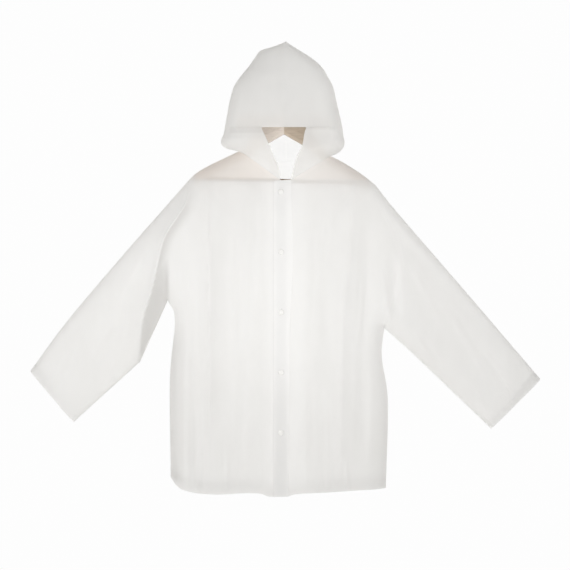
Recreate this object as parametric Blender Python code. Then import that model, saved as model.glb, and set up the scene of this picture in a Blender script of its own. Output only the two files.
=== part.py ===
"""Hooded rain jacket of frosted film, hanging on a wooden hanger.

Metres, +Z up. The front faces -Y. The origin is the inside top of the hanger's
hook, where the whole thing is held up. Right and left are the wearer's: the
wearer's right side lies at -X.

The jacket hangs flat about the plane y = 0. Each panel is drawn in that plane
as a grid between its four edges, and one depth function then stands the grid
out to the front or the back, with the rounded side edges and the large folds.
"""

from collections import namedtuple
import math

import bmesh
import bpy
from mathutils import Matrix, Vector
import numpy as np

# ------------------------------------------------------------ driving sizes
RIGHT, LEFT = -1, 1          # the wearer's sides, as the sign of x
FRONT, BACK = -1, 1          # the two faces, as the sign of y

WALL = 0.0015                # thickness of a panel
TURNING = 0.0010             # thickness of a turned-in hem layer
STRIP = 0.0012               # thickness of the placket strip
SEAM = 0.0003                # gap between two pieces that are joined
HEM_DROP = 0.004             # the back hem ends this much above the front hem

# Places on the outline, each as x and z on the wearer's right and left.
Place = namedtuple("Place", "right_x right_z left_x left_z")
OUTLINE = {
    "neck": Place(-0.108, -0.161, 0.115, -0.174),
    "shoulder_in": Place(-0.181, -0.196, 0.149, -0.192),
    "shoulder_out": Place(-0.215, -0.216, 0.191, -0.219),
    "tip": Place(-0.234, -0.234, 0.223, -0.244),
    "upper_arm": Place(-0.406, -0.430, 0.280, -0.315),
    "forearm": Place(-0.533, -0.581, 0.450, -0.512),
    "cuff_top": Place(-0.620, -0.699, 0.627, -0.719),
    "cuff_under": Place(-0.514, -0.824, 0.506, -0.840),
    "elbow": Place(-0.352, -0.677, 0.312, -0.654),
    "armpit": Place(-0.284, -0.526, 0.245, -0.594),
    "waist": Place(-0.267, -0.575, 0.239, -0.663),
    "hip": Place(-0.279, -0.721, 0.254, -0.775),
    "hem_corner": Place(-0.277, -0.958, 0.249, -0.984),
    "armhole_low": Place(-0.303, -0.425, 0.284, -0.455),
    "armhole_mid": Place(-0.289, -0.364, 0.272, -0.375),
    "armhole_high": Place(-0.242, -0.293, 0.238, -0.300),
    "hood_end": Place(-0.010, -0.2275, 0.017, -0.2275),
    "lap_edge": Place(0.005, -0.232, -0.024, -0.232),
}
HEM_MIDDLE = [(-0.253, -0.983), (-0.215, -0.994), (-0.165, -0.998), (-0.100, -0.995),
              (-0.058, -0.996), (-0.036, -1.003), (0.006, -1.003), (0.030, -0.997),
              (0.090, -0.994), (0.150, -0.990)]
BACK_NECK = (0.005, -0.190)  # lowest point of the back neckline
BACK_NECK_SAG = 0.006        # the neckline hangs this much below a straight line on each side

# How far the cloth stands out of the middle plane, by height.
Depth = namedtuple("Depth", "z front back")
BODY_DEPTH = [
    Depth(-1.000, 0.042, 0.028),
    Depth(-0.600, 0.035, 0.023),
    Depth(-0.300, 0.029, 0.019),
    Depth(-0.160, 0.024, 0.017),
]
SLEEVE_DEPTH = {FRONT: 0.021, BACK: 0.017}
SLEEVE_START, SLEEVE_END = 0.24, 0.40     # |x| over which body depth turns to sleeve depth
EDGE_ROUND = {FRONT: 0.050, BACK: 0.032}  # width of the rounded edge

# Large folds: a straight run from top to bottom, half width, and height (less than 0: a trough).
Fold = namedtuple("Fold", "face top_x top_z bottom_x bottom_z reach rise")
FOLDS = [
    Fold(FRONT, -0.198, -0.25, -0.186, -0.80, 0.028, 0.008),
    Fold(FRONT, -0.163, -0.33, -0.160, -0.86, 0.026, -0.007),
    Fold(FRONT, -0.243, -0.60, -0.238, -0.99, 0.026, -0.006),
    Fold(FRONT, -0.205, -0.76, -0.215, -1.05, 0.026, 0.005),
    Fold(FRONT, 0.168, -0.22, 0.132, -0.64, 0.026, 0.008),
    Fold(FRONT, 0.134, -0.55, 0.132, -0.93, 0.024, 0.005),
    Fold(FRONT, 0.198, -0.30, 0.172, -0.92, 0.030, -0.007),
    Fold(FRONT, 0.262, -0.40, 0.276, -0.58, 0.020, -0.005),
    Fold(BACK, -0.190, -0.25, -0.176, -0.86, 0.030, 0.006),
    Fold(BACK, -0.120, -0.36, -0.105, -0.95, 0.034, -0.005),
    Fold(BACK, 0.062, -0.34, 0.080, -1.05, 0.036, 0.005),
    Fold(BACK, 0.172, -0.27, 0.160, -0.80, 0.028, -0.006),
]
FOLD_FADE = 0.25             # share of a fold's length over which each end fades out
# Where the wearer's right sleeve creases from its armhole to the elbow, the underarm lies lower.
UNDERARM = Fold(FRONT, -0.300, -0.385, -0.352, -0.690, 0.014, -0.010)
UNDERARM_FADE_IN, UNDERARM_FADE_OUT = 0.2, 0.1    # shares of its length
UNDERARM_END = 1.05          # it fades out at this share of its length
UNDERARM_LIMIT_X = -0.29     # it stays on the sleeve

# Hood above the brim: a row for each level.
Level = namedtuple("Level", "z right_x left_x front back")
HOOD_CENTRE = 0.005
HOOD_LEVELS = [
    Level(-0.106, -0.145, 0.143, 0.052, 0.040),
    Level(-0.078, -0.140, 0.137, 0.052, 0.041),
    Level(-0.040, -0.133, 0.128, 0.051, 0.042),
    Level(-0.005, -0.123, 0.120, 0.049, 0.042),
    Level(0.020, -0.107, 0.107, 0.047, 0.041),
    Level(0.043, -0.088, 0.093, 0.043, 0.039),
    Level(0.064, -0.073, 0.070, 0.039, 0.036),
    Level(0.083, -0.058, 0.040, 0.033, 0.031),
    Level(0.093, -0.027, 0.024, 0.028, 0.027),
    Level(0.105, HOOD_CENTRE, HOOD_CENTRE, 0.020, 0.020),
]
# Hood below the brim: its side outline bulges over the shoulder.
LOBE_OUTLINE = [
    Place(-0.135, -0.157, 0.133, -0.166),
    Place(-0.151, -0.148, 0.145, -0.153),
    Place(-0.154, -0.136, 0.148, -0.140),
    Place(-0.148, -0.121, 0.145, -0.124),
]
# Edge of the face opening, from the neck up to where it goes in behind the brim.
FACE_EDGE = [
    Place(-0.013, -0.205, 0.024, -0.205),
    Place(-0.022, -0.183, 0.031, -0.179),
    Place(-0.039, -0.142, 0.044, -0.151),
    Place(-0.055, -0.108, 0.052, -0.112),
]
# Top edge of the lower hood, from the face opening to the side: its place across the
# half width, its height over the brim edge, and how far it is tucked in behind the brim.
Tuck = namedtuple("Tuck", "across lift depth")
LOBE_TOP = [
    Tuck(0.46, 0.018, 0.0070),
    Tuck(0.57, 0.016, 0.0070),
    Tuck(0.67, 0.008, 0.0065),
    Tuck(0.76, -0.004, 0.0045),
    Tuck(0.835, 0.0, 0.0),
    Tuck(0.95, 0.0, 0.0),
    Tuck(1.0, 0.0, 0.0),
]
SLIT_COLUMN = 4              # where the brim parts from the lower hood
RING_POWER = 2.4             # squareness of the hood's cross-section
HOOD_STEPS = 2               # grid rows for each row of the hood's tables
HOOD_PULL = 3                # keeps the bulge of the lower hood's side near its edge
# Share of the lower hood's height over which it stands out from its seam.
LOBE_RISE, NAPE_RISE = 0.7, 0.8

# Grid lines, as fractions along the edge that they leave from.
HEM_COLUMNS = [0.0, 0.06, 0.12, 0.19, 0.26, 0.33, 0.39, 0.45, 0.50,
               0.56, 0.63, 0.70, 0.775, 0.86, 0.94, 1.0]
NECK_COLUMNS = [0.0, 0.25, 0.48, 0.68, 0.835, 0.95, 1.0]
BACK_NECK_COLUMNS = [0.0, 0.30, 0.58, 0.80, 0.94, 1.0]
SHOULDER_COLUMNS = [0.0, 0.14, 0.28, 0.43, 0.58, 0.73, 0.88, 1.0]
SIDE_ROWS = [0.0, 0.065, 0.18, 0.32, 0.46, 0.60, 0.74, 0.86, 0.95, 1.0]
ARMHOLE_ROWS = [0.0, 0.02, 0.08, 0.18, 0.33, 0.50, 0.67, 0.82, 0.92, 0.98, 1.0]
SLEEVE_ROWS = [0.0, 0.04, 0.12, 0.21, 0.31, 0.41, 0.51, 0.61, 0.71, 0.81, 0.90, 0.96, 1.0]
ARMPIT_HEIGHT = 0.56         # share of the panel's height below the armpit
LAP_COLUMNS = 2              # grid columns of a front that lie before the hood's seam
PLACKET_COLUMNS = 3          # grid columns under the placket strip
SNAP_COLUMNS = 4             # grid columns that carry the snaps

CORNER_REACH = 0.004         # an outline's normal is taken over this much on each side of a point
SLOPE_STEP = 0.0005          # distance over which the cloth's slope is measured
RIM_ORDER = np.array((0.3, 0.1, 1.0))     # direction that tells the lower end of a rim's edge

LAP_START, LAP_END = -0.058, -0.030       # x over which the under front dips below the upper

# Press snaps.
SNAP_X = -0.007
SNAP_TOP_Z, SNAP_PITCH, SNAP_COUNT = -0.262, 0.1465, 5
CAP_RADIUS, CAP_HEIGHT = 0.0068, 0.0022
STUD_RADIUS, STUD_HEIGHT = 0.0058, 0.0020
SNAP_GAP = 0.0004
SNAP_SEGMENTS = 16
Turn = namedtuple("Turn", "radius height")     # shares of a turned piece's radius and height
CAP_PROFILE = [Turn(0, 0), Turn(1, 0), Turn(1, 0.4), Turn(0.75, 0.85), Turn(0.35, 1), Turn(0, 1)]
STUD_PROFILE = [Turn(0, 0), Turn(1, 0), Turn(1, 0.5), Turn(0.7, 1), Turn(0, 1)]
ROD_PROFILE = [Turn(0, 0), Turn(1, 0), Turn(1, 1), Turn(0, 1)]

# Hanger.
WOOD_GAP = 0.0004            # the shoulder seam rests this close over the wood
Section = namedtuple("Section", "along height half")
ARM_SECTIONS = [             # along: 0 at the neck, 1 at the shoulder tip
    Section(0.00, 0.024, 0.0070),
    Section(0.25, 0.024, 0.0070),
    Section(0.50, 0.026, 0.0072),
    Section(0.72, 0.029, 0.0074),
    Section(0.84, 0.028, 0.0072),
]
ARM_RING_COUNT = 10          # rings of an arm between its first and last section
CENTRE_TOP, CENTRE_HEIGHT, CENTRE_HALF = -0.091, 0.030, 0.0070
NEAR_CENTRE_X, NEAR_CENTRE_TOP, NEAR_CENTRE_HEIGHT = 0.052, -0.124, 0.027
WoodPoint = namedtuple("WoodPoint", "out down")
WOOD_TOP = [WoodPoint(0.0, 0.0), WoodPoint(0.0018, 0.0013), WoodPoint(0.0044, 0.0050)]
WOOD_FULL_DROP = 0.012       # the section is at its full width this far below its top
WOOD_FOOT_ROUND = 0.006      # the lower edges are rounded over this height
WOOD_FOOT_SHARE, WOOD_FOOT_LIFT = 0.6, 0.0012
BAR_RADIUS = 0.0050
BAR_RIGHT = (-0.200, -0.2290)
BAR_LEFT = (0.205, -0.2405)
ROD_SEGMENTS = 16
WIRE_RADIUS = 0.0018
HOOK_RADIUS = 0.021          # inside radius of the hook
HOOK_START, HOOK_TURN, HOOK_POINTS = math.radians(-42), math.radians(245), 23
STEM_LENGTH = 0.034
STEM_DEPTH = 0.012           # how far the wire goes into the wood
SOCKET_OVERRUN = 0.010       # how far a socket's guide stands out of the wood
# Bend from the stem into the hook: share of the hook's start in x, and height over the stem.
Bend = namedtuple("Bend", "out rise")
HOOK_BEND = [Bend(0.0, -0.010), Bend(0.10, 0.004), Bend(0.45, 0.010)]

SHARP_ANGLE = math.radians(40)
FILM = (0.86, 0.85, 0.82)
FILM_EDGE = (0.88, 0.87, 0.85)
SNAP_WHITE = (0.90, 0.89, 0.87)
WOOD = (0.42, 0.30, 0.19)
STEEL = (0.62, 0.62, 0.63)


# ------------------------------------------------------------ curves in the plane
def place(record, side):
    """The (x, z) of an outline record on one side."""
    if side == RIGHT:
        return np.array((record.right_x, record.right_z))
    return np.array((record.left_x, record.left_z))


def smooth_curve(points, steps=10):
    """Catmull-Rom curve through the points, as a close polyline."""
    points = np.asarray(points, float)
    padded = np.vstack((2 * points[0] - points[1], points, 2 * points[-1] - points[-2]))
    curve = [points[0]]
    for before, start, end, after in zip(padded, padded[1:], padded[2:], padded[3:]):
        for step in range(1, steps + 1):
            t = step / steps
            curve.append(0.5 * (2 * start + (end - before) * t
                                + (2 * before - 5 * start + 4 * end - after) * t ** 2
                                + (3 * start - before - 3 * end + after) * t ** 3))
    return np.array(curve)


def lengths(curve):
    """Distance along the polyline to each of its points."""
    return np.concatenate(([0.0], np.cumsum(np.linalg.norm(np.diff(curve, axis=0), axis=1))))


def along(curve, fractions):
    """Points of the polyline at fractions of its length."""
    run = lengths(curve)
    wanted = np.asarray(fractions, float) * run[-1]
    return np.stack([np.interp(wanted, run, curve[:, axis]) for axis in (0, 1)], axis=1)


def named_curve(side, *names):
    """Smooth curve through named places of the outline."""
    return smooth_curve([place(OUTLINE[name], side) for name in names])


def line(start, end):
    """Straight edge between two points."""
    return np.array((start, end), float)


def join_curves(first, second):
    """One polyline from two that share an end."""
    return np.vstack((first, second[1:]))


SHOULDER = {side: named_curve(side, "neck", "shoulder_in", "shoulder_out", "tip")
            for side in (RIGHT, LEFT)}
ARMHOLE = {side: named_curve(side, "armpit", "armhole_low", "armhole_mid", "armhole_high", "tip")
           for side in (RIGHT, LEFT)}
SIDE_SEAM = {side: named_curve(side, "hem_corner", "hip", "waist", "armpit")
             for side in (RIGHT, LEFT)}
SLEEVE_TOP = {side: named_curve(side, "tip", "upper_arm", "forearm", "cuff_top")
              for side in (RIGHT, LEFT)}
SLEEVE_UNDER = {side: np.array([place(OUTLINE[name], side)
                                for name in ("armpit", "elbow", "cuff_under")])
                for side in (RIGHT, LEFT)}
UPPER_EDGE = {side: join_curves(SHOULDER[side], SLEEVE_TOP[side]) for side in (RIGHT, LEFT)}
LOWER_EDGE = {side: join_curves(SIDE_SEAM[side], SLEEVE_UNDER[side]) for side in (RIGHT, LEFT)}
HEM = smooth_curve([place(OUTLINE["hem_corner"], RIGHT), *HEM_MIDDLE,
                    place(OUTLINE["hem_corner"], LEFT)])
EDGES = [*UPPER_EDGE.values(), *LOWER_EDGE.values()]     # where the front turns into the back


def outline_normal(curve, sign, points):
    """Unit normal of an outline curve near each point; it is the mean one at a corner."""
    run = lengths(curve)
    reach = CORNER_REACH
    steps = np.diff(curve, axis=0)
    normals = []
    for point in points:
        offset = point - curve[:-1]
        share = np.clip((offset * steps).sum(1) / (steps ** 2).sum(1), 0, 1)
        miss = np.linalg.norm(offset - share[:, None] * steps, axis=1)
        nearest = miss.argmin()
        here = run[nearest] + share[nearest] * (run[nearest + 1] - run[nearest])
        ahead, behind = along(curve, np.clip((here + reach, here - reach), 0, run[-1]) / run[-1])
        tangent = (ahead - behind) / np.linalg.norm(ahead - behind)
        normals.append(sign * np.array((-tangent[1], tangent[0])))
    return np.array(normals)


# ------------------------------------------------------------ depth of the cloth
def distance_to(curve, points):
    """Distance of each point from a polyline."""
    steps = np.diff(curve, axis=0)
    offset = points[:, None, :] - curve[None, :-1]
    share = np.clip((offset * steps).sum(2) / (steps ** 2).sum(1), 0, 1)
    return np.linalg.norm(offset - share[..., None] * steps, axis=2).min(1)


def distance_from_edges(points):
    """Distance of each point from the closed edges of the garment."""
    return np.min([distance_to(edge, points) for edge in EDGES], axis=0)


def smooth_step(value):
    """0 below 0, 1 above 1, and an even S between."""
    value = np.clip(value, 0, 1)
    return value * value * (3 - 2 * value)


def fold_frame(fold, points):
    """Share of the fold's length and signed distance to its left, for each point."""
    top = np.array((fold.top_x, fold.top_z))
    run = np.array((fold.bottom_x, fold.bottom_z)) - top
    size = np.linalg.norm(run)
    offset = points - top
    share = offset @ run / size ** 2
    aside = (offset[:, 0] * -run[1] + offset[:, 1] * run[0]) / size
    return share, aside


def fold_height(fold, points):
    """Soft ridge or trough, fading at both ends of the fold."""
    share, aside = fold_frame(fold, points)
    across = np.cos(np.pi / 2 * np.clip(aside / fold.reach, -1, 1)) ** 2
    ends = smooth_step(share / FOLD_FADE) * smooth_step((1 - share) / FOLD_FADE)
    return fold.rise * across * ends


def underarm_drop(points):
    """The strip between the sleeve's crease and its under edge, which lies lower."""
    share, aside = fold_frame(UNDERARM, points)
    ends = (smooth_step(share / UNDERARM_FADE_IN)
            * smooth_step((UNDERARM_END - share) / UNDERARM_FADE_OUT))
    in_sleeve = points[:, 0] < UNDERARM_LIMIT_X
    return UNDERARM.rise * smooth_step(aside / UNDERARM.reach) * ends * in_sleeve


def depth(points, face, side):
    """How far the outer surface stands out of the plane y = 0, at each (x, z)."""
    levels = np.array([(row.z, row.front if face == FRONT else row.back) for row in BODY_DEPTH])
    body = np.interp(points[:, 1], levels[:, 0], levels[:, 1])
    sleeve = smooth_step((np.abs(points[:, 0]) - SLEEVE_START) / (SLEEVE_END - SLEEVE_START))
    full = body + (SLEEVE_DEPTH[face] - body) * sleeve
    from_edge = distance_from_edges(points)
    near = 1 - np.clip(from_edge / EDGE_ROUND[face], 0, 1)
    relief = sum(fold_height(fold, points) for fold in FOLDS if fold.face == face)
    if face == FRONT:
        relief = relief + underarm_drop(points)
    if face == FRONT and side == RIGHT:
        relief = relief - (WALL + SEAM) * smooth_step((points[:, 0] - LAP_START)
                                                      / (LAP_END - LAP_START))
    return full * np.sqrt(1 - near ** 2) + relief * smooth_step(from_edge / EDGE_ROUND[face])


def surface(grid, face, side):
    """Outer points and unit normals of the cloth over a grid of (x, z) points."""
    flat = grid.reshape(-1, 2)
    slope = [(depth(flat + shift, face, side) - depth(flat - shift, face, side)) / (2 * SLOPE_STEP)
             for shift in (np.array((SLOPE_STEP, 0)), np.array((0, SLOPE_STEP)))]
    out = depth(flat, face, side) + SEAM / 2
    points = np.stack((flat[:, 0], face * out, flat[:, 1]), axis=1)
    normals = np.stack((-slope[0], np.full(len(flat), float(face)), -slope[1]), axis=1)
    normals /= np.linalg.norm(normals, axis=1)[:, None]
    return points.reshape(*grid.shape[:2], 3), normals.reshape(*grid.shape[:2], 3)


def in_plane(normals):
    """Plane normals (x, z) as space normals."""
    return np.stack((normals[:, 0], np.zeros(len(normals)), normals[:, 1]), axis=1)


def set_edge_normals(normals, grid, index, curve, sign):
    """Along a closed edge the cloth turns round, so its normal lies in the plane."""
    normals[index] = in_plane(outline_normal(curve, sign, grid[index]))


def pull_back(points, grid, index, away):
    """Move a seam edge half the gap back from its neighbour."""
    edge = grid[index]
    tangent = np.gradient(edge, axis=0)
    tangent /= np.linalg.norm(tangent, axis=1)[:, None]
    normal = np.stack((-tangent[:, 1], tangent[:, 0]), axis=1)
    facing = np.sign((normal * np.asarray(away)).sum(1))[:, None]
    shift = normal * facing * SEAM / 2
    points[index] += np.stack((shift[:, 0], np.zeros(len(shift)), shift[:, 1]), axis=1)


# ------------------------------------------------------------ grids of the panels
def fill_grid(bottom, top, inner, outer, across, up, pull=1):
    """Grid of points between four edge curves: a row for each `up`, a column for each `across`.

    The bulge of the outer edge reaches into the grid; a larger `pull` keeps it near the edge.
    """
    across = np.asarray(across, float)[None, :, None]
    up = np.asarray(up, float)[:, None, None]
    inner_bulge = inner[:, None] - (1 - up) * bottom[0] - up * top[0]
    outer_bulge = outer[:, None] - (1 - up) * bottom[-1] - up * top[-1]
    straight = (1 - up) * bottom[None] + up * top[None]
    return straight + (1 - across) * inner_bulge + across ** pull * outer_bulge


ARMPIT_ROW = len(SIDE_ROWS) - 1
BODY_UP = np.concatenate((np.array(SIDE_ROWS) * ARMPIT_HEIGHT,
                          ARMPIT_HEIGHT + np.array(ARMHOLE_ROWS[1:]) * (1 - ARMPIT_HEIGHT)))


def outer_edge(side):
    """Side seam and armhole, from the hem to the shoulder tip."""
    return np.vstack((along(SIDE_SEAM[side], SIDE_ROWS), along(ARMHOLE[side], ARMHOLE_ROWS)[1:]))


def hem_from(x, side):
    """Hem curve from a place x to the side's corner."""
    inside = HEM[(HEM[:, 0] - x) * side > 0]
    start = np.array((x, np.interp(x, HEM[:, 0], HEM[:, 1])))
    if side == RIGHT:
        inside = inside[::-1]
    return np.vstack((start, inside))


def front_neckline(side):
    """Seam of the hood on the front, from the face opening to the neck point."""
    ends = (place(OUTLINE["hood_end"], side), place(OUTLINE["neck"], side))
    return along(line(*ends), NECK_COLUMNS)


def back_neckline(side):
    """Seam of the hood on the back, from the centre to the neck point."""
    neck = place(OUTLINE["neck"], side)
    middle = (np.array(BACK_NECK) + neck) / 2 - np.array((0, BACK_NECK_SAG))
    return along(smooth_curve([BACK_NECK, middle, neck]), BACK_NECK_COLUMNS)


def front_grid(side):
    """Grid of one front, from its lap edge to its side, and from its hem to its shoulder."""
    lap, hood_end = place(OUTLINE["lap_edge"], side), place(OUTLINE["hood_end"], side)
    snap_line = lap + (hood_end - lap) / 2
    top = np.vstack((lap, snap_line, front_neckline(side),
                     along(SHOULDER[side], SHOULDER_COLUMNS)[1:]))
    bottom = along(hem_from(lap[0], side), HEM_COLUMNS)
    inner = along(line(bottom[0], top[0]), BODY_UP)
    return fill_grid(bottom, top, inner, outer_edge(side), HEM_COLUMNS, BODY_UP)


def back_grid():
    """Grid of the back, from the wearer's right side to the left."""
    halves = [np.vstack((back_neckline(side), along(SHOULDER[side], SHOULDER_COLUMNS)[1:]))
              for side in (RIGHT, LEFT)]
    top = np.vstack((halves[0][::-1], halves[1][1:]))
    side_share = np.array(HEM_COLUMNS[-len(halves[0]):])
    side_share = (side_share - side_share[0]) / (side_share[-1] - side_share[0])
    across = np.concatenate((0.5 - side_share[::-1] / 2, 0.5 + side_share[1:] / 2))
    bottom = along(HEM, across) + np.array((0, HEM_DROP))
    inner, outer = outer_edge(RIGHT), outer_edge(LEFT)
    inner[0], outer[0] = bottom[0], bottom[-1]
    return fill_grid(bottom, top, inner, outer, across, BODY_UP)


def sleeve_grid(side):
    """Grid of one face of a sleeve: a row for each ring, a column from under to top edge."""
    inner = along(SLEEVE_UNDER[side], SLEEVE_ROWS)
    outer = along(SLEEVE_TOP[side], SLEEVE_ROWS)
    armhole = along(ARMHOLE[side], ARMHOLE_ROWS)
    cuff = along(line(inner[-1], outer[-1]), ARMHOLE_ROWS)
    return fill_grid(armhole, cuff, inner, outer, ARMHOLE_ROWS, SLEEVE_ROWS)


# ------------------------------------------------------------ meshes
def add_object(name, points, faces, material):
    """Mesh object with outward faces."""
    mesh = bpy.data.meshes.new(name)
    mesh.from_pydata([tuple(point) for point in points], [], faces)
    work = bmesh.new()
    work.from_mesh(mesh)
    bmesh.ops.recalc_face_normals(work, faces=work.faces)
    if work.calc_volume(signed=True) < 0:
        bmesh.ops.reverse_faces(work, faces=work.faces)
    work.to_mesh(mesh)
    work.free()
    mesh.shade_smooth()
    mesh.set_sharp_from_angle(angle=SHARP_ANGLE)
    mesh.materials.append(material)
    made = bpy.data.objects.new(name, mesh)
    bpy.context.collection.objects.link(made)
    return made


def grid_cells(rows, columns, wrap=False):
    """Triangles of a grid, all cut along the same diagonal."""
    cells = []
    for row in range(rows - 1):
        for column in range(columns if wrap else columns - 1):
            after = (column + 1) % columns
            a, b = row * columns + column, row * columns + after
            c, d = b + columns, a + columns
            cells += [(a, b, c), (a, c, d)]
    return cells


def rim_cells(points, start, end, count):
    """Two triangles across the wall's edge; both pieces at a seam are cut along one diagonal."""
    if points[start] @ RIM_ORDER < points[end] @ RIM_ORDER:
        return [(end, start, start + count), (end, start + count, end + count)]
    return [(end, start, end + count), (start, start + count, end + count)]


def add_wall(name, points, normals, cells, thickness, material):
    """Closed wall from an open sheet: the sheet, its copy moved in, and a rim round the edges."""
    points, normals = np.asarray(points), np.asarray(normals)
    count = len(points)
    inner = points - normals * thickness
    faces = list(cells) + [tuple(corner + count for corner in reversed(cell)) for cell in cells]
    edges = {(cell[k], cell[(k + 1) % 3]) for cell in cells for k in range(3)}
    for start, end in sorted(edges):
        if (end, start) not in edges:
            faces += rim_cells(points, start, end, count)
    return add_object(name, np.vstack((points, inner)), faces, material)


def add_layer(name, points, normals, move, thickness, material, wrap=False):
    """Layer that lies on a panel: part of the panel's grid, moved along its normals."""
    rows, columns = points.shape[:2]
    moved = (points + normals * move).reshape(-1, 3)
    return add_wall(name, moved, normals.reshape(-1, 3), grid_cells(rows, columns, wrap),
                    thickness, material)


# ------------------------------------------------------------ body panels
def side_name(side):
    """Ending of a node's name."""
    return "right" if side == RIGHT else "left"


def front_surface(side):
    """Points and normals of one front."""
    grid = front_grid(side)
    points, normals = surface(grid, FRONT, side)
    neck_column = LAP_COLUMNS + len(NECK_COLUMNS) - 1
    set_edge_normals(normals, grid, np.s_[:ARMPIT_ROW + 1, -1], LOWER_EDGE[side], -side)
    set_edge_normals(normals, grid, np.s_[-1, neck_column:], UPPER_EDGE[side], side)
    pull_back(points, grid, np.s_[ARMPIT_ROW:, -1], (-side, 0))
    pull_back(points, grid, np.s_[-1, :neck_column + 1], (0, -1))
    return points, normals


def back_surface():
    """Points and normals of the back."""
    grid = back_grid()
    points, normals = surface(grid, BACK, LEFT)
    shoulder = len(SHOULDER_COLUMNS)
    for side, column in ((RIGHT, 0), (LEFT, -1)):
        set_edge_normals(normals, grid, np.s_[:ARMPIT_ROW + 1, column], LOWER_EDGE[side], -side)
    set_edge_normals(normals, grid, np.s_[-1, :shoulder], UPPER_EDGE[RIGHT], RIGHT)
    set_edge_normals(normals, grid, np.s_[-1, -shoulder:], UPPER_EDGE[LEFT], LEFT)
    for side, column in ((RIGHT, 0), (LEFT, -1)):
        pull_back(points, grid, np.s_[ARMPIT_ROW:, column], (-side, 0))
    pull_back(points, grid, np.s_[-1, shoulder - 1:1 - shoulder], (0, -1))
    return points, normals


def add_front(side, film, edge_film):
    """One front and its turned-up hem; returns the surface for what lies on it."""
    points, normals = front_surface(side)
    add_layer(f"front_{side_name(side)}", points, normals, 0, WALL, film)
    first = LAP_COLUMNS if side == LEFT else 0       # the upper front's lap has no second layer
    add_layer(f"hem_{side_name(side)}", points[:2, first:], normals[:2, first:],
              -(WALL + SEAM), TURNING, edge_film)
    return points, normals


def add_back(film, edge_film):
    """The back and its turned-up hem."""
    points, normals = back_surface()
    add_layer("back", points, normals, 0, WALL, film)
    add_layer("hem_back", points[:2], normals[:2], -(WALL + SEAM), TURNING, edge_film)


# ------------------------------------------------------------ sleeves
def sleeve_surface(side):
    """Rings of a sleeve: its front from the under edge to the top edge, then its back."""
    grid = sleeve_grid(side)
    rings = []
    for face in (FRONT, BACK):
        points, normals = surface(grid, face, side)
        for column, curve, sign in ((0, LOWER_EDGE[side], -side), (-1, UPPER_EDGE[side], side)):
            set_edge_normals(normals, grid, np.s_[:, column], curve, sign)
            points[:, column, 1] = 0
        pull_back(points, grid, np.s_[0], (side, 0))
        rings.append((points, normals))
    (front, front_normals), (back, back_normals) = rings
    points = np.concatenate((front, back[:, -2:0:-1]), axis=1)
    normals = np.concatenate((front_normals, back_normals[:, -2:0:-1]), axis=1)
    return points, normals


def add_sleeve(side, film, edge_film):
    """One sleeve and the turned-in layer at its cuff."""
    points, normals = sleeve_surface(side)
    add_layer(f"sleeve_{side_name(side)}", points, normals, 0, WALL, film, wrap=True)
    add_layer(f"cuff_{side_name(side)}", points[-2:], normals[-2:],
              -(WALL + SEAM), TURNING, edge_film, wrap=True)


# ------------------------------------------------------------ hood
def ring_depth(across):
    """Depth share of the hood's cross-section, from 1 at the centre to 0 at the side."""
    return (1 - np.clip(across, 0, 1) ** RING_POWER) ** (1 / RING_POWER)


def side_x(level, side):
    """Half width of a hood level on one side, as an x."""
    return level.right_x if side == RIGHT else level.left_x


def hood_upper(side):
    """Rows of the hood above the brim, from the front centre round the side to the back."""
    across = np.array(NECK_COLUMNS + BACK_NECK_COLUMNS[-2::-1])
    in_front = np.arange(len(across)) < len(NECK_COLUMNS)
    levels = [(side_x(level, side), level.z, level.front, level.back) for level in HOOD_LEVELS]
    rows = []
    for edge_x, z, front, back in smooth_curve(levels, HOOD_STEPS):
        x = HOOD_CENTRE + (edge_x - HOOD_CENTRE) * across
        stand = np.where(in_front, -front, back) * ring_depth(across)
        rows.append(np.stack((x, stand, np.full(len(x), z)), axis=1))
    return np.array(rows)


def hood_side(side):
    """Side outline of the lower hood, from the neck point to the brim level."""
    first = HOOD_LEVELS[0]
    middle = [place(row, side) for row in LOBE_OUTLINE]
    ends = place(OUTLINE["neck"], side), (side_x(first, side), first.z)
    return smooth_curve([ends[0], *middle, ends[1]], HOOD_STEPS)


def lobe_rows(side):
    """Lower hood on the front, from the neckline up to the edge tucked in behind the brim."""
    brim = HOOD_LEVELS[0]
    outer = hood_side(side)
    half = side_x(brim, side) - HOOD_CENTRE
    top = np.array([(HOOD_CENTRE + half * spot.across, brim.z + spot.lift) for spot in LOBE_TOP])
    inner = smooth_curve([place(OUTLINE["hood_end"], side),
                          *[place(row, side) for row in FACE_EDGE], top[0]], HOOD_STEPS)
    up = np.linspace(0, 1, len(outer))
    seam = front_neckline(side)
    grid = fill_grid(seam, top, inner, outer, NECK_COLUMNS, up, HOOD_PULL)
    seam_depth = depth(seam, FRONT, side) + SEAM / 2
    tucked = np.array([spot.depth for spot in LOBE_TOP])
    rows = []
    for row, share in zip(grid, up):
        across = (row[:, 0] - HOOD_CENTRE) / (row[-1, 0] - HOOD_CENTRE)
        lobe = brim.front * ring_depth(across) - tucked * smooth_step(share)
        risen = smooth_step(share / LOBE_RISE)
        stand = (1 - risen) * seam_depth + risen * lobe
        stand[-1] = 0
        rows.append(np.stack((row[:, 0], -stand, row[:, 1]), axis=1))
    return np.array(rows)


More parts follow.
